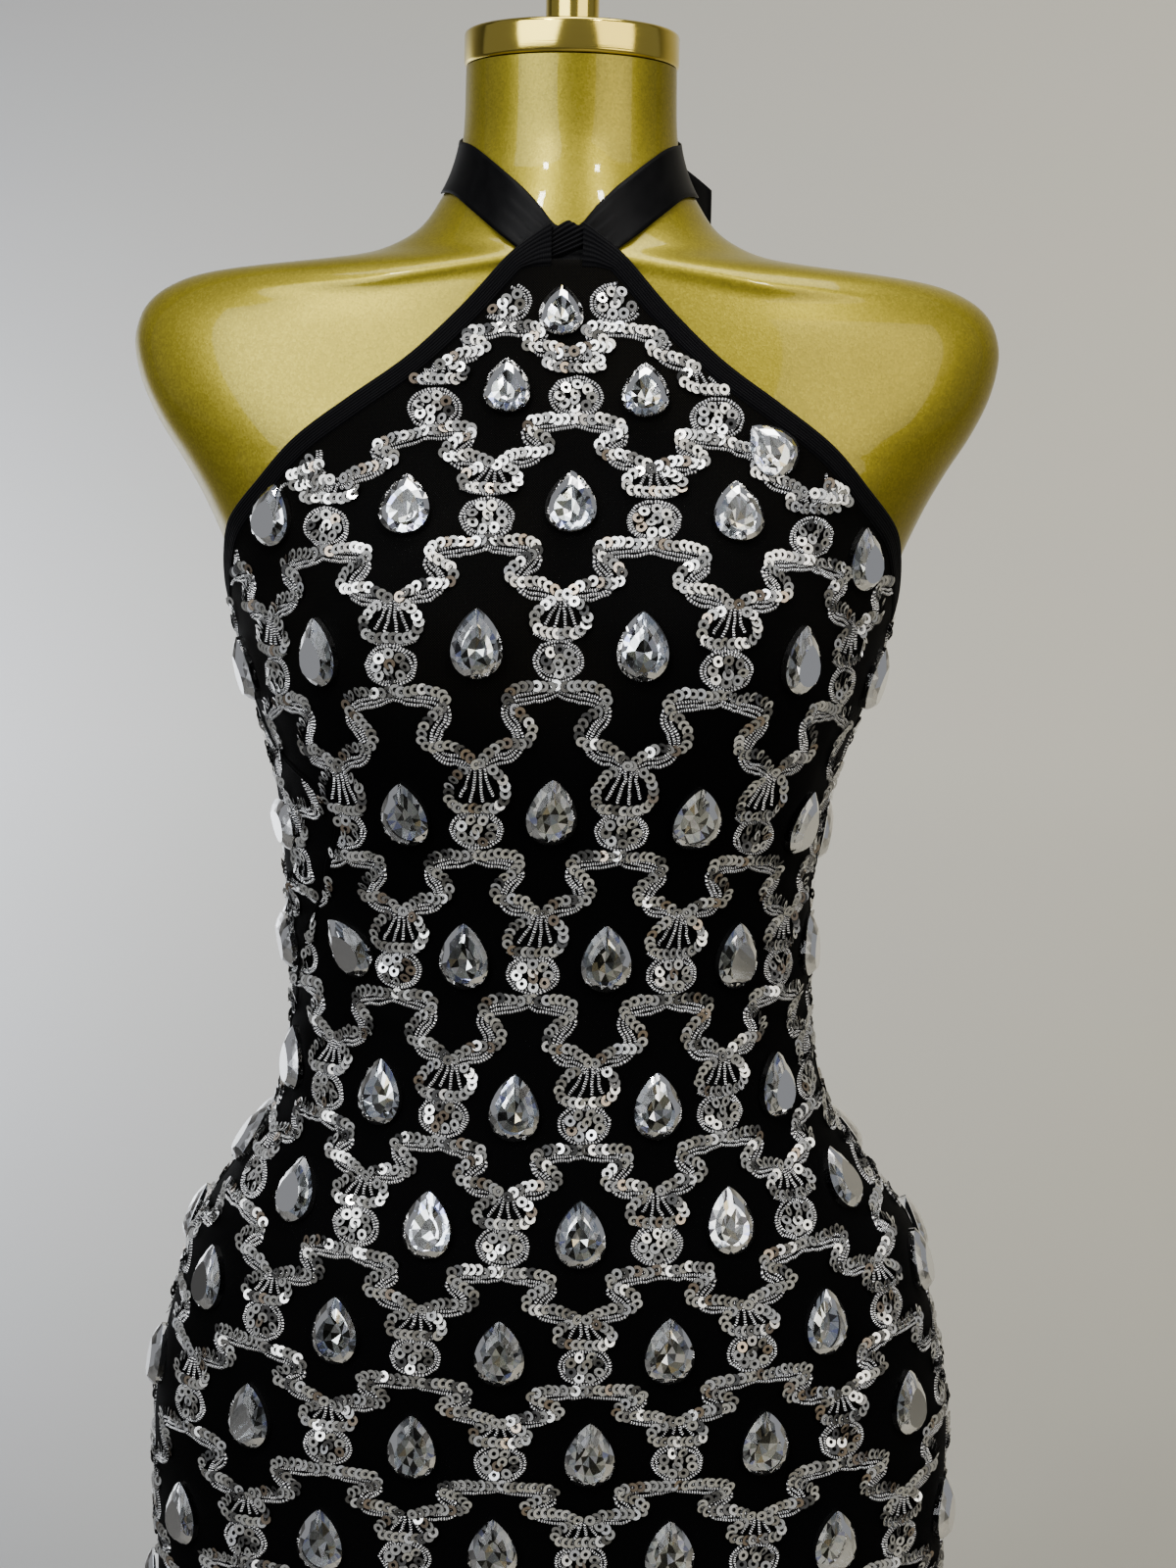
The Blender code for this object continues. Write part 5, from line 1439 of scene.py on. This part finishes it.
# Metallic thread: two-ply silver yarn, chain-stitched in strands under the branches of
# sequins, twice round each cap, and in an open fan inside each bell.
THREAD_WIDTH, THREAD_STEP, THREAD_RISE = 0.0015, 0.0022, 0.0010
THREAD_TWIST = 0.0011
STRAND_GAP, CAP_STRAND_GAP = 0.0019, 0.0017
THREAD_SPREAD, THREAD_LIFT_SPREAD = 0.00022, 0.00012
THREAD_MARGIN = 0.0010
UNDER_BRANCH = [
    (0.00, 0.08), (0.18, 0.15), (0.36, 0.18), (0.52, 0.22), (0.63, 0.32), (0.61, 0.44),
    (0.52, 0.56), (0.47, 0.70), (0.49, 0.84), (0.60, 0.93), (0.74, 0.95), (0.88, 1.00),
    (1.00, 1.09),
]
BELL_THREADS = [
    [(-0.0030, 0.0), (-0.0040, 0.35), (-0.0078, 0.85)],
    [(-0.0010, 0.0), (-0.0012, 0.40), (-0.0030, 0.92)],
    [(0.0030, 0.0), (0.0040, 0.35), (0.0078, 0.85)],
    [(0.0010, 0.0), (0.0014, 0.40), (0.0026, 0.92)],
    [(-0.0118, 1.00), (-0.0060, 1.17), (0.0, 1.22), (0.0060, 1.17), (0.0118, 1.00)],
    [(-0.0112, 0.93), (-0.0056, 1.08), (0.0, 1.12), (0.0056, 1.08), (0.0112, 0.93)],
]
silver_thread = new_material("silver_thread", (0.72, 0.73, 0.74), 0.72, 0.26)
thread_twist = cloth_wave(silver_thread, cloth_place(silver_thread)[1], THREAD_TWIST)
thread_grain = add_node(silver_thread, "ShaderNodeTexNoise", Scale=900.0, Detail=3.0)
thread_twist_and_painted_shade = join_numbers(silver_thread, "ADD", thread_twist, thread_grain.outputs["Fac"])
# The thread's colour follows its twist and grain: painted shade, near black, in the grooves
# between the plies, and a painted white highlight on their crests.
paint_by(
    silver_thread,
    thread_twist_and_painted_shade,
    [(0.05, (0.09, 0.09, 0.10)), (0.50, (0.66, 0.67, 0.68)), (0.9, (1.0, 1.0, 1.0))],
)
add_bump(silver_thread, thread_twist_and_painted_shade, 0.00030, 0.9)
thread_section = np.array([(-0.5, 0.0), (0.0, 1.0), (0.5, 0.0)])

wobble = np.random.default_rng(23)
for panel, inside, is_back in PANELS:
    strands = []
    for row, column, middle in trellis_caps(is_back):
        bells = BELL_THREADS if row > 1 else []
        lines = [(bell_line(bell, row, column, is_back), (0.0,)) for bell in bells]
        for side in (-1, 1):
            branch = branch_line(UNDER_BRANCH, row, column, side, is_back)
            lines.append((branch, (-STRAND_GAP, 0.0, STRAND_GAP)))
        for line, offsets in lines:
            places, direction = walk_line(line, THREAD_STEP, 0.0)
            across = np.stack([-direction[:, 1], direction[:, 0]], axis=-1)
            strands += [(places + across * offset, across) for offset in offsets]
        turns = np.linspace(0, math.tau, 25)
        ring = np.stack([np.sin(turns), np.cos(turns)], axis=-1)
        for inset in (0.0, CAP_STRAND_GAP):
            strands.append((middle + ring * (CAP_RADII - inset), ring))
    points, faces, uvs, used = [], [], [], 0
    for places, across in strands:
        kept = inside(places[:, 0], places[:, 1]) > THREAD_MARGIN
        if kept.sum() < 3:
            continue
        places, across = places[kept], across[kept]
        # Where the panel's edge cuts a strand in two, no face bridges the gap.
        unbroken = np.linalg.norm(np.diff(places, axis=0), axis=1) < 2.2 * THREAD_STEP
        places = places + wobble.normal(0, THREAD_SPREAD, places.shape)
        share = thread_section[None, :, :1]
        spots = places[:, None, :] + across[:, None, :] * share * THREAD_WIDTH
        lift = WALL + thread_section[None, :, 1] * THREAD_RISE
        lift = lift + wobble.normal(0.0, THREAD_LIFT_SPREAD, (len(places), 1))
        reach = from_centre_front(spots[:, :, 0], spots[:, :, 1], is_back)
        points.append(on_cloth(reach, spots[:, :, 1], lift)[0].reshape(-1, 3))
        grid = grid_faces(len(places), 3).reshape(-1, 2, 4)[unbroken]
        faces.append(grid.reshape(-1, 4) + used)
        run = np.repeat(np.arange(len(places)) * THREAD_STEP, 3)
        uvs.append(np.stack([run, np.tile([0.0, 0.0005, 0.001], len(places))], axis=-1))
        used += 3 * len(places)
    points, faces, uvs = (np.concatenate(part) for part in (points, faces, uvs))
    threads = mesh_piece(f"threads_{panel}", points, faces, silver_thread, uvs)
    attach(threads, "root")

boxes = {"solids": solids_box, "shown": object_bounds()}
{key: [list(corner) for corner in box] for key, box in boxes.items()}
